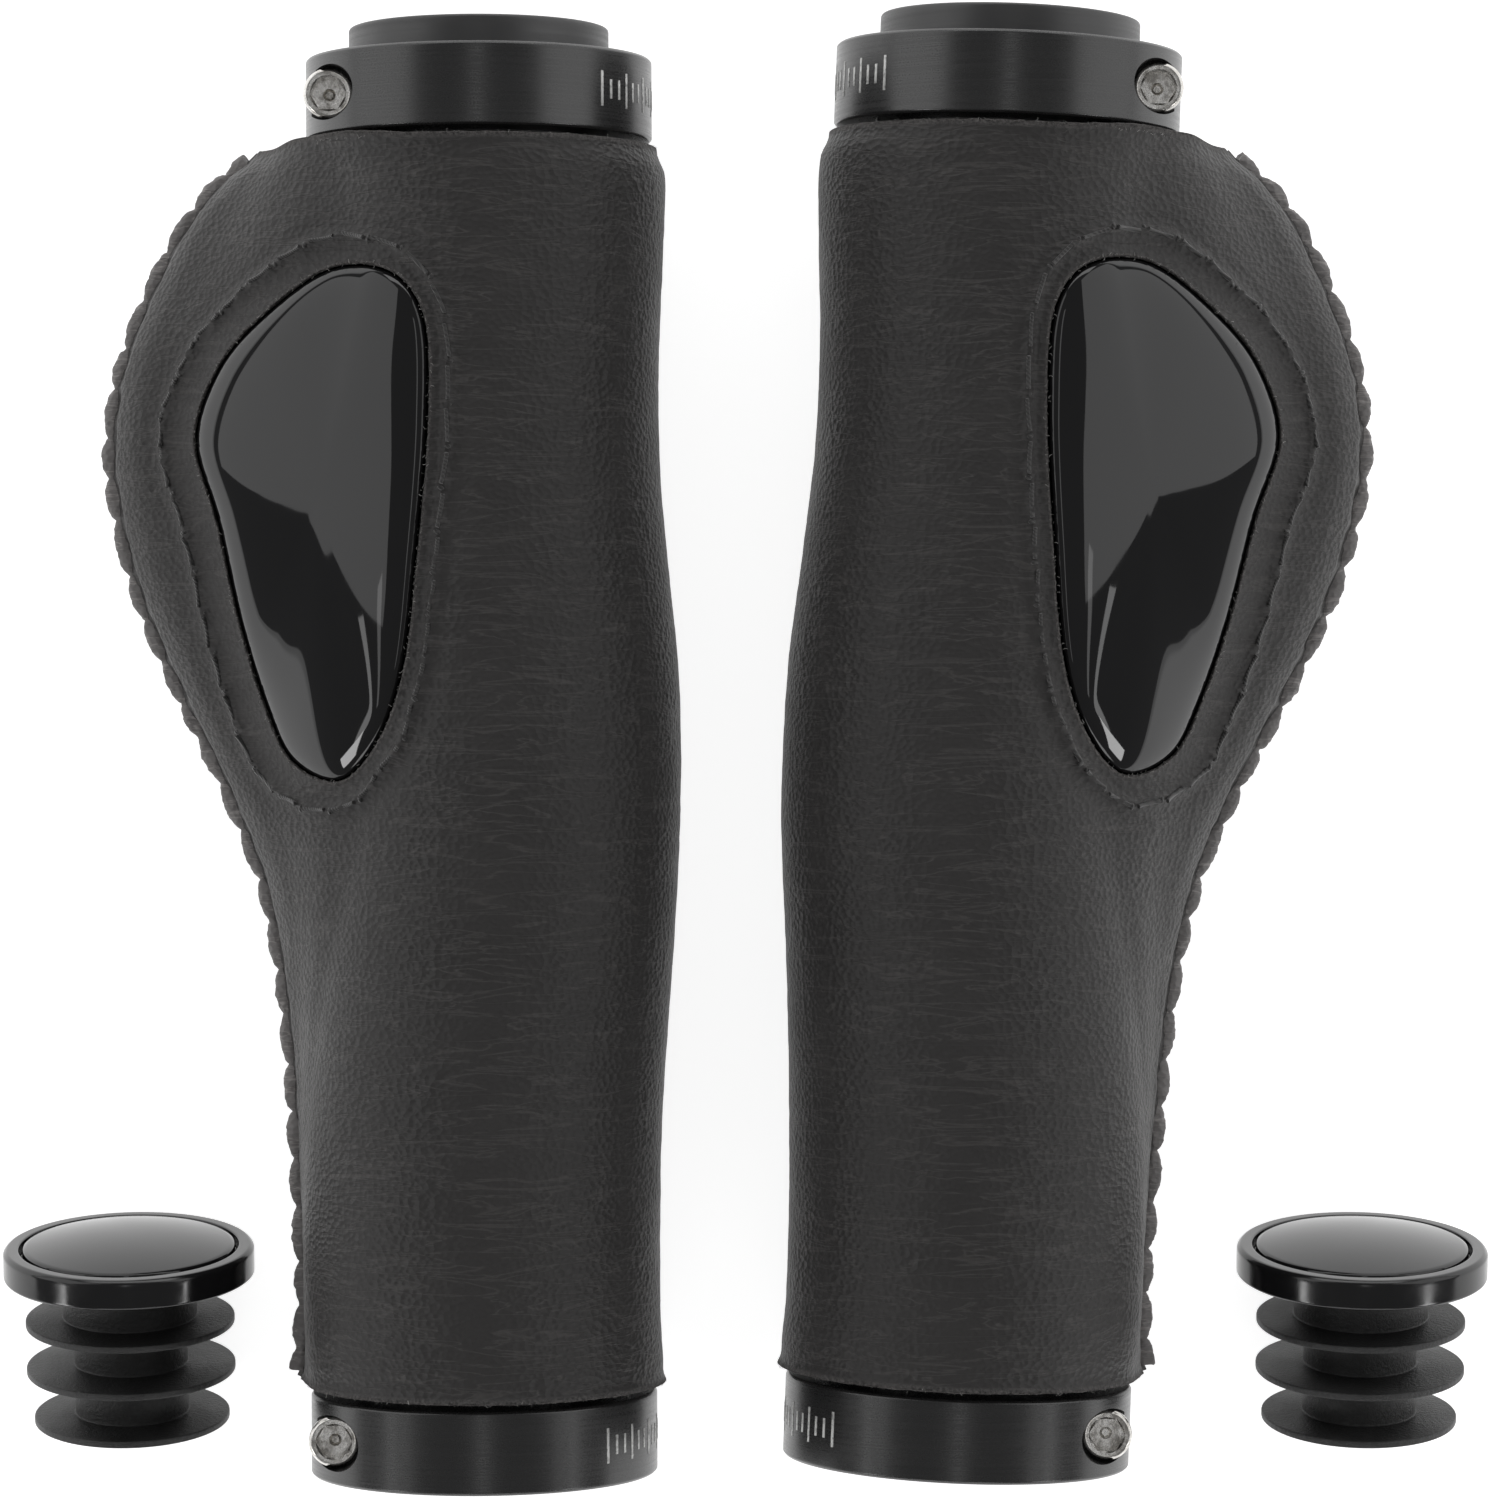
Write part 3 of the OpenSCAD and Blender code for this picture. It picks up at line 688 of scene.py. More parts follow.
# %% [markdown]
# ## Wrapping the leather
# Wrapped round the body, the flat cut gets its relief: the thread pulls a groove into it and leaves a plump
# band beside the window, the sewn seam puckers it, and the hide has shallow folds of its own. The relief is
# a height along the surface's normal, so it is real shape and not only a finish. An inner wall and rolled,
# uneven cut edges close the sleeve.

# %% Relief of the leather
seam_pitch = 4.6


def hill(value, middle, width):
    return np.exp(-(((value - middle) / width) ** 2))


def rough(points, scale, seed):
    """Smooth noise from -1 to 1 at each point. scale is the size of its lumps in the points' own units."""
    shift = Vector((seed * 17.3, seed * 5.1, seed * 9.7))
    p = np.atleast_2d(points) / np.asarray(scale, float)
    return np.array([noise.noise(Vector(q) + shift) for q in p])


def pucker_phase(y, seed):
    """Counts the puckers along the seam. They aren't quite even."""
    knots = np.linspace(wrap_start, wrap_end, 60)
    drift = rough(np.stack([knots * 0, knots, knots * 0], -1), (9, 9, 9), seed) * 0.45
    return (y + seam_pitch * np.interp(y, knots, drift)) / seam_pitch


def stitch_path():
    return window + window_out * stitch_gap[:, None]


stitch_count = 36
stitch_steps = np.linalg.norm(np.roll(stitch_path(), -1, 0) - stitch_path(), axis=1)
stitch_run = np.concatenate([[0], np.cumsum(stitch_steps)[:-1]])
stitch_pitch = stitch_steps.sum() / stitch_count


def sewn_relief(cut):
    """Groove, needle holes and plump band that the row of stitches makes."""
    ring_points = cut.rings * window_points
    gap = np.full(len(cut.points), stitch_far)
    gap[:ring_points] = np.tile(stitch_gap, cut.rings)
    off = cut.away - gap
    height = (
        -0.34 * hill(off, 0, 0.38) + 0.16 * hill(cut.away, gap * 0.5, gap * 0.33)
        + 0.13 * hill(off, 1.3, 0.8)
    )
    between_holes = np.abs((stitch_run + stitch_pitch / 2) % stitch_pitch - stitch_pitch / 2)
    hole = np.zeros(len(cut.points))
    hole[:ring_points] = hill(np.tile(between_holes, cut.rings), 0, 0.42)
    return height - 0.3 * hole * hill(off, 0, 0.4)


def seam_relief(t, y, seed):
    """The fold beside the seam: a groove, then a rounded ridge that puckers with the stitches."""
    girth = Section(y).girth
    top, under = t * girth, (1 - t) * girth
    beside = np.minimum(top, under)
    pull = np.sin(2 * math.pi * pucker_phase(y, seed))
    ridge = 0.32 + 0.26 * pull
    bulge = 0.7 * hill(y, wrap_start + 5.5, 4.0) * hill(beside, 0.8, 2.4)
    return (
        bulge - 0.5 * hill(beside, 0.2, 0.45) + ridge * hill(beside, 1.7, 0.85)
        - 0.12 * hill(beside, 3.4, 0.9)
    )


def hide_relief(place, t, y, seed):
    """Shallow folds that run round the grip, stronger beside the seam, and a soft unevenness."""
    beside = np.minimum(t, 1 - t) * Section(y).girth
    folds = rough(place, (9.0, 1.5, 9.0), seed)
    small = rough(place, (2.4, 0.9, 2.4), seed + 3)
    wide = rough(place, (14.0, 11.0, 14.0), seed + 7)
    crinkle = rough(place, (1.3, 2.6, 1.3), seed + 11)
    return 0.035 * folds + 0.022 * small + 0.11 * wide + 0.26 * crinkle * hill(beside, 1.5, 1.7)


# %% The two walls and the cut edges
def relief(cut, place, seed):
    t, y = cut.points.T
    end = np.minimum(y - wrap_start, wrap_end - y)
    quiet = np.clip(cut.away / 4.5, 0.15, 1)
    height = sewn_relief(cut) + seam_relief(t, y, seed) + quiet * hide_relief(place, t, y, seed)
    return height - 0.16 * hill(end, 0, 0.35) + 0.1 * hill(end, 1.1, 0.7)


def closed_loop(cut, y_edge):
    """The cut's points along one end, in order round it, without the doubled one at the seam."""
    t, y = cut.points.T
    on = np.flatnonzero((np.abs(y - y_edge) < 1e-6) & (t < 1))
    return on[np.argsort(t[on])]


def seam_map(cut):
    """Joins both seam edges: each point at t = 1 becomes the one at t = 0 beside it."""
    t, y = cut.points.T
    index = np.arange(len(t))
    first = {round(y[i], 5): i for i in np.flatnonzero(t == 0)}
    for i in np.flatnonzero(t == 1):
        index[i] = first[round(y[i], 5)]
    return index


def window_rim(seed):
    """Rings down the window's cut edge, from the leather's outside to its inside."""
    for depth, grow in ((0.1, -0.07), (0.35, -0.15), (0.7, -0.17), (1.05, -0.1)):
        fray = 0.09 * rough(np.column_stack([window, np.full(len(window), depth * 4)]), 0.55, seed + depth)
        plan = window + window_out * (grow + fray)[:, None]
        yield np.column_stack([plan, top_at(plan[:, 0], plan[:, 1], depth)])


def outboard_reach(place):
    """How far the outboard edge is cut longer on the wing's side, clear of the ring."""
    beside = np.clip((-4.0 - place[:, 0]) / 9.0, 0, 1) * np.clip(place[:, 2] / 6.0, 0, 1)
    return 0.6 * beside * beside * (3 - 2 * beside) * np.clip((place[:, 1] - wrap_end + 9.0) / 9.0, 0, 1) ** 2


def end_rim(t, y_edge, seed):
    out = 1 if y_edge > 60 else -1
    for depth, grow in ((0.12, 0.05), (0.4, 0.12), (0.8, 0.12), (1.15, 0.05)):
        ring = wrap_point(t, np.full(len(t), y_edge), depth)
        ring[:, 1] += outboard_reach(ring) + out * (grow + 0.1 * rough(ring, (0.7, 0.7, 0.7), seed + depth))
        yield ring


def leather_sleeve(seed):
    """Points in the grip's frame, faces, and how raw each point is."""
    base = wrap_point(outer_cut.points[:, 0], outer_cut.points[:, 1])
    normal = wrap_normal(outer_cut.points[:, 0], outer_cut.points[:, 1])
    outer = base + normal * relief(outer_cut, base, seed)[:, None]
    outer[:, 1] += outboard_reach(base)
    outer[:, 2] = np.maximum(outer[:, 2], -barrel_r)
    t, y = inner_cut.points.T
    inner = wrap_point(t, y, leather_t)
    inner[:window_points] = np.column_stack([window, top_at(window[:, 0], window[:, 1], leather_t)])
    points, raw = [outer, inner], []
    end = np.minimum(outer_cut.points[:, 1] - wrap_start, wrap_end - outer_cut.points[:, 1])
    raw.append(np.maximum(hill(outer_cut.away, -0.05, 0.16), 0.9 * hill(end, -0.05, 0.2)))
    raw.append(np.ones(len(inner)))
    outer_map, inner_map = seam_map(outer_cut), seam_map(inner_cut) + len(outer)
    faces = [tuple(f) for f in outer_map[outer_cut.triangles]]
    faces += [tuple(f[::-1]) for f in inner_map[inner_cut.triangles]]
    count = len(outer) + len(inner)

    def close(first, rings, last):
        nonlocal count
        previous = list(first)
        for ring in rings:
            ids = list(range(count, count + len(ring)))
            points.append(ring)
            raw.append(np.ones(len(ring)))
            faces.extend(band(previous, ids))
            previous, count = ids, count + len(ring)
        faces.extend(band(previous, list(last)))

    close(range(window_points), window_rim(seed), range(len(outer), len(outer) + window_points))
    for y_edge in (wrap_start, wrap_end):
        loop = closed_loop(outer_cut, y_edge)
        close(
            loop, end_rim(outer_cut.points[loop, 0], y_edge, seed),
            closed_loop(inner_cut, y_edge) + len(outer),
        )
    return np.concatenate(points), faces, np.concatenate(raw)


# %% Tidy a mesh
def keep_number(obj, name, values):
    obj.data.attributes.new(name, "FLOAT", "POINT").data.foreach_set("value", values.astype(np.float32))


def tidy(obj):
    """Drops points that no face uses and turns all faces outwards."""
    b = bmesh.new()
    b.from_mesh(obj.data)
    bmesh.ops.delete(b, geom=[v for v in b.verts if not v.link_faces], context="VERTS")
    bmesh.ops.recalc_face_normals(b, faces=b.faces)
    open_edges = sum(1 for e in b.edges if len(e.link_faces) != 2)
    b.to_mesh(obj.data)
    b.free()
    return open_edges


# %% Leather sleeves
along_bar = np.linspace(wrap_start, wrap_end, 400)
girths = Section(along_bar).girth
x, y = window.T
window_area = abs((x * np.roll(y, -1) - y * np.roll(x, -1)).sum()) / 2
for number, grip in enumerate(grips):
    points, faces, raw = leather_sleeve(number + 1)
    cover = closed_mesh(f"{grip.side}_leather_cover", grip.place(points), faces, leather)
    keep_number(cover, "raw", raw)
    open_edges = tidy(cover)
    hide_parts(f"{grip.side}_leather_sleeve")
    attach(cover, f"{grip.side}_grip")
    print(cover.name, len(cover.data.polygons), "faces, open edges:", open_edges)

# %% [markdown]
# ## The palm insert
# The insert is a polished dome that fills the window. It follows the leather's level round its edge. Its
# face is one plane through that edge, bulged evenly towards the middle, so the boxes are thrown back as
# smooth shapes. Rings from the middle to the edge, closer together where it turns down, keep the gloss free
# of kinks. Its flange lies hidden under the leather.

# %% Palm inserts
insert_rise = 1.2
insert_gap = 0.35
dome_edge = 0.5
flange_grow, flange_top, flange_t = 2.4, 1.4, 1.0


def level_ring(plan, inset):
    return np.column_stack([plan, top_at(plan[:, 0], plan[:, 1], inset)])


def dome_ring(edge, u):
    """The dome's ring at the share u of the way from its middle to its edge."""
    plan = window_middle + (edge - window_middle) * u
    rim = top_at(edge[:, 0], edge[:, 1], dome_edge)
    sides = np.column_stack([edge, np.ones(len(edge))])
    plane = np.linalg.lstsq(sides, rim, rcond=None)[0]
    rise = top_at(*window_middle, 0.0) + insert_rise - np.append(window_middle, 1) @ plane
    level = np.column_stack([plan, np.ones(len(plan))]) @ plane
    return np.column_stack([plan, level + (rim - sides @ plane) * u * u + rise * (1 - u * u) ** 0.45])


def palm_insert():
    edge = window - window_out * insert_gap
    shares = 1 - (1 - np.linspace(0, 1, 49)[1:]) ** 2
    rings = [dome_ring(edge, u) for u in shares]
    rings.append(level_ring(edge, flange_top))
    rings.append(level_ring(window + window_out * flange_grow, flange_top))
    rings.append(level_ring(window + window_out * flange_grow, flange_top + flange_t))
    rings.append(level_ring(window_middle + (window - window_middle) * 0.5, flange_top + flange_t))
    x, y = window_middle
    top = [dome_ring(edge, 0.0)[0]]
    low = [(x, y, top_at(x, y, flange_top + flange_t))]
    points = np.concatenate([top, *rings, low])
    n, last = window_points, len(points) - 1
    ids = [list(range(1 + k * n, 1 + (k + 1) * n)) for k in range(len(rings))]
    faces = [(0, ids[0][i], ids[0][(i + 1) % n]) for i in range(n)]
    for a, b in zip(ids, ids[1:]):
        faces += band(b, a)
    faces += [(last, ids[-1][(i + 1) % n], ids[-1][i]) for i in range(n)]
    return points, faces


for grip in grips:
    points, faces = palm_insert()
    insert = closed_mesh(f"{grip.side}_palm_dome", grip.place(points), faces, insert_gloss)
    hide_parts(f"{grip.side}_palm_insert")
    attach(insert, f"{grip.side}_grip")
    print(insert.name, len(insert.data.polygons), "faces, open edges:", tidy(insert))

# %% [markdown]
# ## Geometry Nodes
# Stitches, the seam's scalloped lip, loose fibres and printed ticks all follow a line on the surface. Each
# one is a small node tree that takes such a line, as a mesh of edges with the surface's normal kept on its
# points, and grows the piece along it. The trees are built here in code, and each size is a named input.

# %% Node tree tools
class Tree:
    def __init__(self, name, **numbers):
        self.group = bpy.data.node_groups.new(name, "GeometryNodeTree")
        face = self.group.interface
        face.new_socket("Line", in_out="INPUT", socket_type="NodeSocketGeometry")
        face.new_socket("Finish", in_out="INPUT", socket_type="NodeSocketMaterial")
        for key, value in numbers.items():
            kind = "NodeSocketInt" if isinstance(value, int) else "NodeSocketFloat"
            face.new_socket(key, in_out="INPUT", socket_type=kind).default_value = value
        face.new_socket("Piece", in_out="OUTPUT", socket_type="NodeSocketGeometry")
        self.inputs = self.group.nodes.new("NodeGroupInput").outputs
        self.output = self.group.nodes.new("NodeGroupOutput").inputs["Piece"]

    def node(self, kind, sockets=None, **settings):
        """A node with its settings. sockets gives values or sources for its inputs, by name or number."""
        n = self.group.nodes.new(kind)
        for key, value in settings.items():
            setattr(n, key, value)
        for key, value in (sockets or {}).items():
            if isinstance(value, bpy.types.NodeSocket):
                self.group.links.new(value, n.inputs[key])
            else:
                n.inputs[key].default_value = value
        return n

    def maths(self, operation, a, b=0.0):
        return self.node("ShaderNodeMath", {0: a, 1: b}, operation=operation).outputs[0]

    def vector(self, x=0.0, y=0.0, z=0.0):
        return self.node("ShaderNodeCombineXYZ", {0: x, 1: y, 2: z}).outputs[0]

    def line(self):
        return self.node("GeometryNodeMeshToCurve", {"Mesh": self.inputs["Line"]}).outputs["Curve"]

    def tube(self, curve, profile, scale=1.0):
        sockets = {"Curve": curve, "Profile Curve": profile, "Scale": scale, "Fill Caps": True}
        return self.node("GeometryNodeCurveToMesh", sockets).outputs["Mesh"]

    def circle(self, radius, sides):
        n = self.node("GeometryNodeCurvePrimitiveCircle", {"Resolution": sides, "Radius": radius})
        return n.outputs["Curve"]

    def random(self, low, high, seed):
        kind = "FLOAT_VECTOR" if isinstance(low, tuple) else "FLOAT"
        n = self.node("FunctionNodeRandomValue", data_type=kind)
        first = 0 if kind == "FLOAT_VECTOR" else 2
        n.inputs[first].default_value, n.inputs[first + 1].default_value = low, high
        n.inputs["Seed"].default_value = seed
        return n.outputs[0 if kind == "FLOAT_VECTOR" else 1]

    def along(self, tangent, up):
        """Turns an instance's X along the line and its Z up from the surface."""
        first = self.node("FunctionNodeAlignRotationToVector", {"Vector": tangent}, axis="X")
        second = {"Rotation": first.outputs[0], "Vector": up}
        return self.node("FunctionNodeAlignRotationToVector", second, axis="Z", pivot_axis="X").outputs[0]

    def named(self, name):
        return self.node(
            "GeometryNodeInputNamedAttribute", {"Name": name}, data_type="FLOAT_VECTOR"
        ).outputs[0]

    def finish(self, geometry):
        real = self.node("GeometryNodeRealizeInstances", {"Geometry": geometry})
        smooth = self.node("GeometryNodeSetShadeSmooth", {"Geometry": real.outputs[0]})
        last = self.node(
            "GeometryNodeSetMaterial", {"Geometry": smooth.outputs[0], "Material": self.inputs["Finish"]}
        )
        self.group.links.new(last.outputs[0], self.output)
        return self.group


def surface_line(name, points, ups, closed):
    """A mesh of edges through points in metres, with the surface's normal at each as an attribute."""
    n = len(points)
    edges = [(i, i + 1) for i in range(n - 1)] + ([(n - 1, 0)] if closed else [])
    mesh = bpy.data.meshes.new(name)
    mesh.from_pydata(np.asarray(points).tolist(), edges, [])
    kept = mesh.attributes.new("up", "FLOAT_VECTOR", "POINT")
    kept.data.foreach_set("vector", np.asarray(ups, np.float32).ravel())
    return link(bpy.data.objects.new(name, mesh))


def grown(name, line, group, finish, **numbers):
    """The plain mesh that a tree makes of a line. The line itself is thrown away."""
    modifier = line.modifiers.new("grow", "NODES")
    modifier.node_group = group
    sockets = {s.name: s.identifier for s in group.interface.items_tree if s.in_out == "INPUT"}
    modifier[sockets["Finish"]] = finish
    for key, value in numbers.items():
        modifier[sockets[key]] = value
    bpy.context.view_layer.update()
    depsgraph = bpy.context.evaluated_depsgraph_get()
    mesh = bpy.data.meshes.new_from_object(line.evaluated_get(depsgraph))
    line.modifiers.remove(modifier)
    bpy.data.objects.remove(line)
    mesh.name = name
    piece = link(bpy.data.objects.new(name, mesh))
    print(name, len(mesh.polygons), "faces")
    return piece


# %% [markdown]
# ## The row of stitches
# A machine sews with one thread above and one below, which lock in every needle hole. So each stitch is a
# short arch of thread that dives into a hole at both ends, with a small knot in the hole where the other
# thread shows.

# %% Stitch tree
def stitch_tree():
    tree = Tree("row_of_stitches", Count=36, Length=0.0026, Radius=0.0002, Dive=0.0003, Knot=0.0003)
    i = tree.inputs
    half = tree.maths("MULTIPLY", i["Length"], 0.5)
    dive = tree.maths("MULTIPLY", i["Dive"], -1.0)
    arch = tree.node("GeometryNodeCurveQuadraticBezier", {"Resolution": 8})
    tree.group.links.new(tree.vector(tree.maths("MULTIPLY", half, -1.0), 0.0, dive), arch.inputs["Start"])
    tree.group.links.new(tree.vector(0.0, 0.0, i["Dive"]), arch.inputs["Middle"])
    tree.group.links.new(tree.vector(half, 0.0, dive), arch.inputs["End"])
    thread_piece = tree.tube(arch.outputs["Curve"], tree.circle(i["Radius"], 8))
    ball = tree.node("GeometryNodeMeshIcoSphere", {"Radius": i["Knot"], "Subdivisions": 2}).outputs["Mesh"]
    knot = tree.node("GeometryNodeTransform", {
        "Geometry": ball,
        "Translation": tree.vector(
            tree.maths("ADD", half, tree.maths("MULTIPLY", i["Length"], 0.14)), 0.0, 0.0
        ),
        "Scale": (0.8, 1.25, 0.6),
    }).outputs[0]
    one = tree.node("GeometryNodeJoinGeometry", {"Geometry": thread_piece})
    tree.group.links.new(knot, one.inputs[0])
    spots = tree.node("GeometryNodeCurveToPoints", {"Curve": tree.line(), "Count": i["Count"]}, mode="COUNT")
    lean = tree.node("FunctionNodeRotateRotation", {
        "Rotation": tree.along(spots.outputs["Tangent"], tree.named("up")),
        "Rotate By": tree.random((-0.12, -0.08, -0.14), (0.12, 0.08, 0.14), 4),
    }, rotation_space="LOCAL").outputs[0]
    row = tree.node("GeometryNodeInstanceOnPoints", {
        "Points": spots.outputs["Points"],
        "Instance": one.outputs[0],
        "Rotation": lean,
        "Scale": tree.random((0.92, 0.85, 0.85), (1.06, 1.2, 1.2), 7),
    })
    return tree.finish(row.outputs[0])


# %% Sew the windows
row_of_stitches = stitch_tree()


def on_leather(plan, lift):
    """Places and normals of points given from above, lifted off the leather."""
    t = round_share(plan[:, 0], plan[:, 1])
    normal = wrap_normal(t, plan[:, 1])
    return wrap_point(t, plan[:, 1]) + normal * lift, normal


def directions(grip, vectors):
    return (grip.place(vectors) - grip.place([(0, 0, 0)])) / MM


for grip in grips:
    places, ups = on_leather(stitch_path(), -0.24)
    shift = round(window_points / stitch_count / 2)
    places, ups = np.roll(places, -shift, 0), np.roll(ups, -shift, 0)
    line = surface_line("sewing_line", grip.place(places), directions(grip, ups), True)
    sewn = grown(
        f"{grip.side}_window_stitches", line, row_of_stitches, thread,
        Count=stitch_count, Length=stitch_pitch * 0.8 * MM, Radius=0.19 * MM, Dive=0.22 * MM, Knot=0.27 * MM,
    )
    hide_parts(f"{grip.side}_window_stitching")
    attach(sewn, f"{grip.side}_grip")

# %% [markdown]
# ## The edge seam
# Along the wing's edge both ends of the hide are folded out and sewn together. Their cut edges stand out as
# a thin double lip, which the thread pulls in at every stitch, so that the outline is scalloped. The tree
# sweeps a flat oval along the seam, lets it swell between the stitches and roughens it.
# Its leather is a lighter copy of the grip's, a painted sheen for the grey highlights that the lip's folds
# catch at the edge.

# %% Seam tree
def lip_tree():
    tree = Tree("scalloped_lip", Height=0.0009, Thickness=0.0005, Pitch=0.0046, Depth=0.4, Raggedness=0.0001)
    i = tree.inputs
    curve = tree.node("GeometryNodeResampleCurve", {"Curve": tree.line(), "Length": 0.00025}, mode="LENGTH")
    turned = tree.node("GeometryNodeSetCurveNormal", {"Curve": curve.outputs[0]}, mode="Z_UP").outputs[0]
    run = tree.node("GeometryNodeSplineParameter").outputs["Length"]
    drift = tree.node("ShaderNodeTexNoise", {"Scale": 90.0, "Detail": 2.0}).outputs[0]
    phase = tree.maths("ADD", tree.maths("DIVIDE", run, i["Pitch"]), tree.maths("MULTIPLY", drift, 1.1))
    arch = tree.maths("ABSOLUTE", tree.maths("SINE", tree.maths("MULTIPLY", phase, math.pi)))
    swell = tree.maths("MULTIPLY", tree.maths("POWER", arch, 0.6), i["Depth"])
    size = tree.maths("ADD", tree.maths("SUBTRACT", 1.0, i["Depth"]), swell)
    oval = tree.node("GeometryNodeTransform", {
        "Geometry": tree.circle(1.0, 14),
        "Scale": tree.vector(i["Height"], i["Thickness"], 1.0),
    }).outputs[0]
    lip = tree.tube(turned, oval, size)
    fine = tree.node("ShaderNodeTexNoise", {"Scale": 1500.0, "Detail": 3.0}).outputs[1]
    centred = tree.node(
        "ShaderNodeVectorMath", {0: fine, 1: (0.5, 0.5, 0.5)}, operation="SUBTRACT"
    ).outputs[0]
    push = tree.node("ShaderNodeVectorMath", {0: centred}, operation="SCALE")
    tree.group.links.new(i["Raggedness"], push.inputs["Scale"])
    rough_lip = tree.node("GeometryNodeSetPosition", {"Geometry": lip, "Offset": push.outputs[0]}).outputs[0]
    return tree.finish(rough_lip)


# %% Sew the seams
scalloped_lip = lip_tree()
seam_y = np.arange(wrap_start + 0.5, wrap_end - 0.4, 0.4)

for grip in grips:
    zero = np.zeros_like(seam_y)
    ups = wrap_normal(zero, seam_y)
    places = wrap_point(zero, seam_y) + ups * -0.1
    line = surface_line("seam_line", grip.place(places), directions(grip, ups), False)
    lip = grown(
        f"{grip.side}_seam_lip", line, scalloped_lip, seam_leather,
        Height=1.15 * MM, Thickness=0.8 * MM, Pitch=seam_pitch * MM, Depth=0.6, Raggedness=0.5 * MM,
    )
    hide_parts(f"{grip.side}_edge_seam")
    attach(lip, f"{grip.side}_grip")

# %% [markdown]
# ## Turned parts
# Clamps, tube, screws and plugs all come off a lathe, so each one is a profile spun round an axis. Real
# edges are never quite sharp, and a tiny round on each corner is what catches a thin line of light. One
# function rounds the profile's corners and one spins it. Milled holes and slots are cut out afterwards.

# %% Lathe
def rounded(profile, radius, steps=4):
    """The closed profile with its corners rounded, except those on the axis."""
    p = np.array(profile, float)
    out = []
    for i in range(len(p)):
        before, here, after = p[i - 1], p[i], p[(i + 1) % len(p)]
        a, b = before - here, after - here
        la, lb = np.linalg.norm(a), np.linalg.norm(b)
        r = min(radius, la * 0.4, lb * 0.4)
        if here[0] < 1e-9 or r < 1e-6:
            out.append(here)
            continue
        start, end = here + a / la * r, here + b / lb * r
        if la > 6 * r:
            out.append(here + a / la * 2.2 * r)
        for k in range(steps + 1):
            u = k / steps
            out.append((1 - u) ** 2 * start + 2 * u * (1 - u) * here + u * u * end)
        if lb > 6 * r:
            out.append(here + b / lb * 2.2 * r)
    return np.array(out)


def spun(profile, count):
    """Points (across, along, up) and faces of a closed profile (radius, height) spun round its axis."""
    points, faces, rings = [], [], []
    for r, h in profile:
        if r < 1e-9:
            rings.append([len(points)] * count)
            points.append((0, h, 0))
            continue
        rings.append(list(range(len(points), len(points) + count)))
        angles = np.arange(count) * 2 * math.pi / count
        points.extend(zip(r * np.cos(angles), np.full(count, h), r * np.sin(angles)))
    for a, b in zip(rings, rings[1:] + rings[:1]):
        for quad in band(a, b):
            corners = tuple(dict.fromkeys(quad))
            if len(corners) > 2:
                faces.append(corners)
    return np.array(points, float), faces


def carved(piece, cutters):
    """Cuts the cutters' shapes out of a piece, closes what the cut left open and marks its sharp edges."""
    for cutter in cutters:
        cut = piece.modifiers.new("cut", "BOOLEAN")
        cut.operation, cut.solver, cut.object = "DIFFERENCE", "EXACT", cutter
    bpy.context.view_layer.update()
    depsgraph = bpy.context.evaluated_depsgraph_get()
    mesh = bpy.data.meshes.new_from_object(piece.evaluated_get(depsgraph))
    piece.modifiers.clear()
    piece.data = mesh
    for cutter in cutters:
        bpy.data.objects.remove(cutter)
    b = bmesh.new()
    b.from_mesh(mesh)
    bmesh.ops.remove_doubles(b, verts=b.verts, dist=5e-7)
    bmesh.ops.dissolve_degenerate(b, edges=b.edges, dist=5e-7)
    loose = [e for e in b.edges if len(e.link_faces) == 1]
    bmesh.ops.holes_fill(b, edges=loose, sides=12)
    bmesh.ops.recalc_face_normals(b, faces=b.faces)
    b.to_mesh(mesh)
    b.free()
    mesh.polygons.foreach_set("use_smooth", [True] * len(mesh.polygons))
    mesh.set_sharp_from_angle(angle=math.radians(28))
    return piece


def box_cutter(name, place, low, high):
    x, y, z = zip(low, high)
    corners = [(x[i], y[j], z[k]) for i in (0, 1) for j in (0, 1) for k in (0, 1)]
    faces = [(0, 1, 3, 2), (4, 6, 7, 5), (0, 4, 5, 1), (2, 3, 7, 6), (0, 2, 6, 4), (1, 5, 7, 3)]
    return closed_mesh(name, place(corners), faces, None, False)


def standing(points, x, y, z):
    """Turns a spun shape upright, its axis at x, y and its zero height at z."""
    return np.column_stack([points[:, 0] + x, points[:, 2] + y, points[:, 1] + z])


def round_cutter(name, place, profile, x, y, z, count=96):
    points, faces = spun(profile, count)
    return closed_mesh(name, place(standing(points, x, y, z)), faces, None)


# %% Clamp rings
ring_r, ring_chamfer, core_r = 16.5, 0.25, 12.4
screw_x, screw_seat, screw_head_r, screw_head_h = 13.8, 5.5, 2.4, 2.5
head_room, far = 0.2, 30.0
ring_places = {"inner": 0.0, "outer": grip_len - ring_w}


def clamp_ring(grip, which):
    y = ring_places[which]
    c, w, r, inner = ring_chamfer, ring_w, ring_r, core_r + 0.05
    profile = rounded([(inner, 0), (r - c, 0), (r, c), (r, w - c), (r - c, w), (inner, w)], 0.09)
    points, faces = spun(profile, 224)
    ring = closed_mesh(f"{grip.side}_{which}_clamp", grip.place(points + (0, y, 0)), faces, ring_anodised)
    mid_y, bore = y + w / 2, screw_head_r + head_room
    rim = [(0, 0), (bore, 0), (bore, far), (0, far)]
    cutters = [
        round_cutter("bore", grip.place, rim, -screw_x, mid_y, screw_seat),
        round_cutter(
            "hole", grip.place, [(0, -far), (1.3, -far), (1.3, far), (0, far)], -screw_x, mid_y, 0, 48
        ),
        box_cutter("slit", grip.place, (-far, y - 1, -0.5), (0, y + w + 1, 0.5)),
    ]
    return carved(ring, cutters)


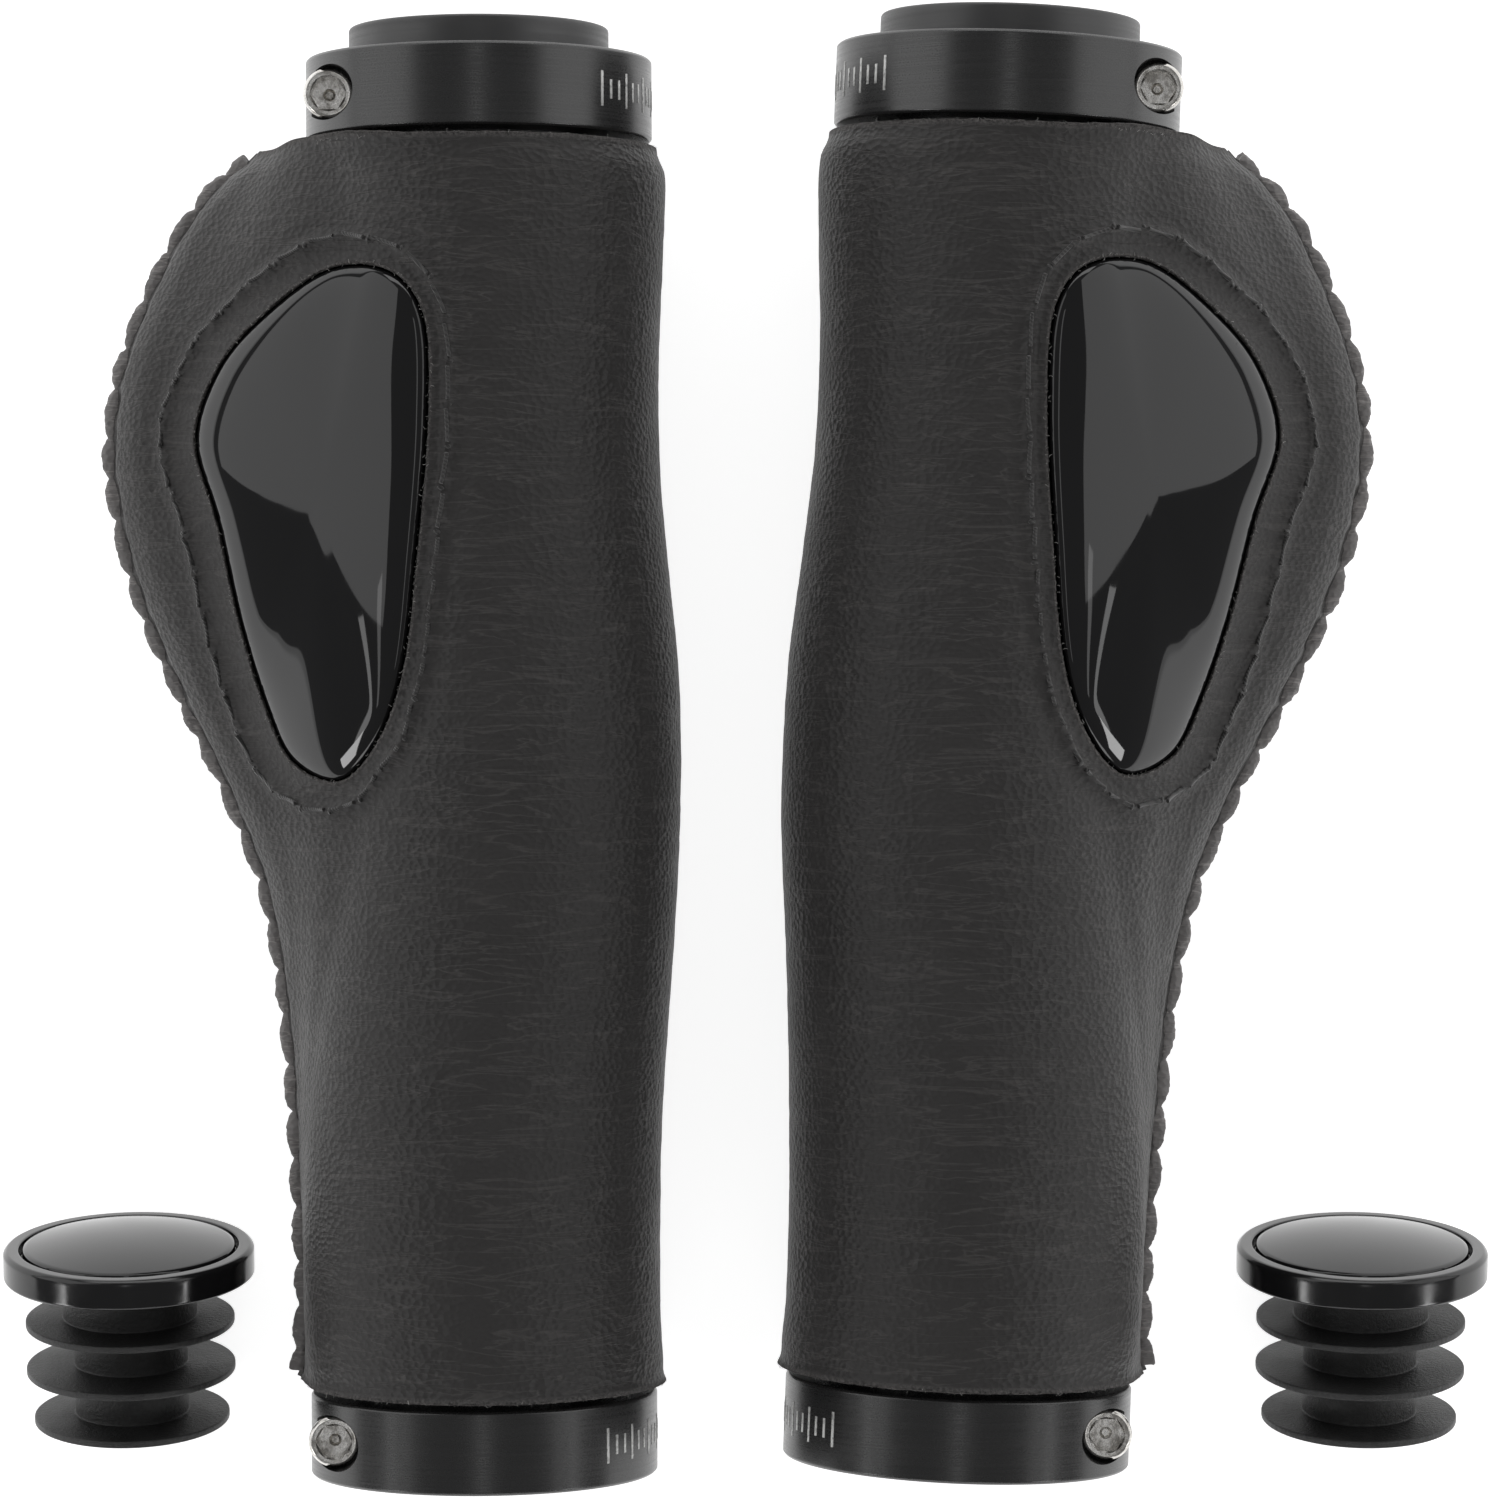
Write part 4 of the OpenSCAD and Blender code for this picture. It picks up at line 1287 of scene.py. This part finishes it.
for grip in grips:
    for which in ring_places:
        ring = clamp_ring(grip, which)
        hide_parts(f"{grip.side}_{which}_ring")
        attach(ring, f"{grip.side}_{which}_ring")
        print(ring.name, len(ring.data.polygons), "faces")

# %% [markdown]
# ## Clamp screws
# Small socket-head screws, turned from stainless bar. The socket is a broached hexagon with a bevelled
# mouth and a drilled cone at its bottom, and all three show from above.

# %% Screws
screw_len, screw_r, socket_af, socket_depth = 12.0, 1.25, 3.0, 1.6


def clamp_screw(grip, which):
    y = ring_places[which] + ring_w / 2
    base, h, r = screw_seat + 0.03, screw_head_h, screw_head_r
    profile = [
        (0, -screw_len), (0.9, -screw_len), (1.25, 0.35 - screw_len), (screw_r, 0), (r, 0), (r, h - 0.3)
    ]
    profile = rounded([*profile, (r - 0.28, h), (0, h)], 0.1)
    points, faces = spun(profile, 96)
    screw = closed_mesh(
        f"{grip.side}_{which}_bolt", grip.place(standing(points, -screw_x, y, base)), faces, steel
    )
    corner = socket_af / 2 / math.cos(math.pi / 6)
    hexagon, hex_faces = spun([(0, h - socket_depth), (corner, h - socket_depth), (corner, far), (0, far)], 6)
    mouth = [(0, h - 0.24), (socket_af / 2 - 0.02, h - 0.24), (socket_af / 2 + 0.26, h + 0.06), (0, h + 0.06)]
    floor = h - socket_depth
    cone = [(0, floor - 0.4), (0.34, floor - 0.4), (0.62, floor + 0.05), (0, floor + 0.05)]
    cutters = [
        closed_mesh("socket", grip.place(standing(hexagon, -screw_x, y, base)), hex_faces, None, False),
        round_cutter("mouth", grip.place, mouth, -screw_x, y, base, 64),
        round_cutter("cone", grip.place, cone, -screw_x, y, base, 32),
    ]
    return carved(screw, cutters)


for grip in grips:
    for which in ring_places:
        screw = clamp_screw(grip, which)
        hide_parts(f"{grip.side}_{which}_screw")
        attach(screw, f"{grip.side}_{which}_screw")
        print(screw.name, len(screw.data.polygons), "faces")

# %% Core tubes
bar_r = mounts["left_bar_bore"]["dims"]["r_mm"]
slot_w, slot_len = 2.0, 7.0


def core_tube(grip):
    length = grip.length
    profile = rounded([(bar_r, 0), (core_r, 0), (core_r, length), (bar_r, length)], 0.38, 6)
    points, faces = spun(profile, 224)
    tube = closed_mesh(f"{grip.side}_core", grip.place(points), faces, core_satin)
    cutters = []
    for y in (-1, grip_len - slot_len - 0.5):
        end = y + slot_len + (1 if y < 0 else 0)
        s = slot_w / 2
        cutters.append(box_cutter("slot_side", grip.place, (0, y, -s), (far, end, s)))
        cutters.append(box_cutter("slot_top_and_bottom", grip.place, (-s, y, -far), (s, end, far)))
    return carved(tube, cutters)


for grip in grips:
    tube = core_tube(grip)
    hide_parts(f"{grip.side}_core_tube")
    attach(tube, f"{grip.side}_grip")
    body = frame["nodes"][f"{grip.side}_palm_body"]
    for slot in body.material_slots:
        slot.material = foam_black
    print(tube.name, len(tube.data.polygons), "faces")

# %% [markdown]
# ## Bar end plugs
# A plug is three pieces: a moulded stem whose thin fins bend to grip the tube, a polished cap, and a
# slightly domed disc let into the cap's face with a narrow groove round it. Its axis and place come from
# the record. Its heights are counted from the cap's face, down along the stem.

# %% Plug sizes and frame
cap_r, cap_t, disc_r, disc_groove = 12.05, 2.9, 10.2, 0.35
disc_seat, disc_edge, disc_rise = 1.2, 1.25, 1.2
stem_r, stem_tip_r, plug_len = 6.45, 5.45, 18.0
fin_tip_t, fin_root_t = 0.65, 1.1
fins = [(7.4, 10.05), (12.1, 10.05), (17.0, 9.4)]


class PlugFrame:
    def __init__(self, side):
        mount = mounts[f"{side}_plug_tube_fit"]
        self.side = side
        self.up = -np.array(mount["axis"])
        self.up /= np.linalg.norm(self.up)
        self.face = np.array(mount["pos_m"]) + self.up * cap_t * MM
        self.across = np.array((1.0, 0, 0))
        self.over = np.cross(self.across, self.up)

    def place(self, points):
        p = np.atleast_2d(np.asarray(points, float))
        return self.face + MM * (p[:, :1] * self.across + p[:, 1:2] * self.up + p[:, 2:] * self.over)


plugs = [PlugFrame("left"), PlugFrame("right")]


# %% Plug profiles
def stem_profile():
    """The stem with its fins, from the tip up to the cap."""
    first = fins[0][0]
    p = [(0, -plug_len), (stem_tip_r - 0.8, -plug_len), (stem_tip_r, 0.8 - plug_len)]
    for depth, r in reversed(fins):
        root = stem_r if depth == first else stem_tip_r
        p += [(stem_tip_r, -depth - fin_root_t / 2), (r, -depth - fin_tip_t / 2)]
        p += [(r, fin_tip_t / 2 - depth), (root, fin_root_t / 2 - depth)]
    return rounded([*p, (stem_r, -cap_t), (0, -cap_t)], 0.14, 3)


def cap_profile():
    seat_r = disc_r + disc_groove
    p = [(0, -cap_t), (cap_r - 0.2, -cap_t), (cap_r, 0.2 - cap_t), (cap_r, -0.35), (cap_r - 0.35, 0)]
    return rounded([*p, (seat_r, 0), (seat_r, -disc_seat), (0, -disc_seat)], 0.16, 4)


def disc_profile():
    ball = (disc_r**2 + disc_rise**2) / (2 * disc_rise)
    middle_h = disc_rise - ball + disc_edge - disc_seat
    low = [(0, -disc_seat), (disc_r, -disc_seat), (disc_r, disc_edge - disc_seat - 0.12)]
    dome = [(x, middle_h + math.sqrt(ball**2 - x * x)) for x in np.linspace(disc_r - 0.12, 0, 28)]
    return np.array(low + dome)


# %% Make the plugs
plug_parts = [
    ("stem", stem_profile(), fin_rubber, "plug_body", "plug_rubber"),
    ("cap", cap_profile(), cap_gloss, "plug_cap", "plug_cap"),
    ("disc", disc_profile(), disc_gloss, "plug_disc", "plug_disc"),
]
for plug in plugs:
    for word, profile, finish, node, slot in plug_parts:
        points, faces = spun(profile, 160)
        part = closed_mesh(f"{plug.side}_plug_{word}_turned", plug.place(points), faces, finish)
        part.data.set_sharp_from_angle(angle=math.radians(40))
        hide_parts(f"{plug.side}_{node}")
        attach(part, f"{plug.side}_plug")
        print(part.name, len(part.data.polygons), "faces")

# %% [markdown]
# ## Ticks and fibres
# Each clamp carries a plain printed scale, short and long ticks in turn, to line it up on the bar. It is a
# generic one of this lesson's own. The leather's cut edges shed short fibres, which are grown at random
# along the edge.

# %% Tick tree
def tick_tree():
    tree = Tree("printed_scale", Count=12, Width=0.0003, Long=0.003, Thickness=0.00004)
    i = tree.inputs
    size = tree.vector(i["Width"], i["Long"], i["Thickness"])
    bar = tree.node("GeometryNodeMeshCube", {"Size": size}).outputs["Mesh"]
    spots = tree.node("GeometryNodeCurveToPoints", {"Curve": tree.line(), "Count": i["Count"]}, mode="COUNT")
    index = tree.node("GeometryNodeInputIndex").outputs[0]
    odd = tree.maths("MODULO", index, 3.0)
    short = tree.maths("ADD", tree.maths("MULTIPLY", tree.maths("LESS_THAN", odd, 0.5), 0.45), 0.55)
    row = tree.node("GeometryNodeInstanceOnPoints", {
        "Points": spots.outputs["Points"],
        "Instance": bar,
        "Rotation": tree.along(spots.outputs["Tangent"], tree.named("up")),
        "Scale": tree.vector(1.0, short, 1.0),
    })
    return tree.finish(row.outputs[0])


# %% Print the scales
printed_scale = tick_tree()
scale_angles = np.radians(np.linspace(43, -8, 40))
for grip in grips:
    for which, y in ring_places.items():
        ups = np.column_stack([np.cos(scale_angles), np.zeros(40), np.sin(scale_angles)])
        places = ups * (ring_r + 0.012) + (0, y + ring_w / 2, 0)
        line = surface_line("scale_line", grip.place(places), directions(grip, ups), False)
        ticks = grown(
            f"{grip.side}_{which}_scale", line, printed_scale, pale_print,
            Count=13, Width=0.32 * MM, Long=3.3 * MM, Thickness=0.05 * MM,
        )
        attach(ticks, f"{grip.side}_{which}_ring")


# %% Fibre tree
def fibre_tree():
    tree = Tree("cut_edge_fibres", Count=300, Length=0.0007, Radius=0.00002, Seed=1)
    i = tree.inputs
    arch = tree.node("GeometryNodeCurveQuadraticBezier", {"Resolution": 4})
    third = tree.maths("MULTIPLY", i["Length"], 0.35)
    tree.group.links.new(tree.vector(0.0, 0.0, 0.0), arch.inputs["Start"])
    tree.group.links.new(tree.vector(third, third, tree.maths("MULTIPLY", third, 0.8)), arch.inputs["Middle"])
    tree.group.links.new(tree.vector(i["Length"], 0.0, 0.0), arch.inputs["End"])
    hair = tree.tube(arch.outputs["Curve"], tree.circle(i["Radius"], 3))
    spots = tree.node("GeometryNodeCurveToPoints", {"Curve": tree.line(), "Count": i["Count"]}, mode="COUNT")
    row = tree.node("GeometryNodeInstanceOnPoints", {
        "Points": spots.outputs["Points"],
        "Instance": hair,
        "Rotation": tree.random((-1.1, -1.1, -3.14), (1.1, 1.1, 3.14), 3),
        "Scale": tree.random(0.35, 1.2, 5),
    })
    scatter = tree.node("GeometryNodeSetPosition", {
        "Geometry": row.outputs[0],
        "Offset": tree.random((-0.00015, -0.00015, -0.00015), (0.00015, 0.00015, 0.00005), 8),
    }).outputs[0]
    return tree.finish(scatter)


# %% Fray the cut edges
fibres = fibre_tree()
for grip in grips:
    t_round = np.linspace(0.02, 0.55, 200)
    edges = {
        "window": (*on_leather(window - window_out * 0.08, -0.12), True, 320),
        "outboard": (wrap_point(t_round, np.full(200, wrap_end + 0.02), 0.1), None, False, 150),
        "inboard": (wrap_point(t_round, np.full(200, wrap_start - 0.02), 0.1), None, False, 150),
    }
    for which, (places, ups, closed, count) in edges.items():
        ups = np.zeros_like(places) if ups is None else directions(grip, ups)
        line = surface_line("edge_line", grip.place(places), ups, closed)
        fur = grown(
            f"{grip.side}_{which}_fibres", line, fibres, fibre,
            Count=count, Length=0.34 * MM, Radius=0.018 * MM,
        )
        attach(fur, f"{grip.side}_grip")
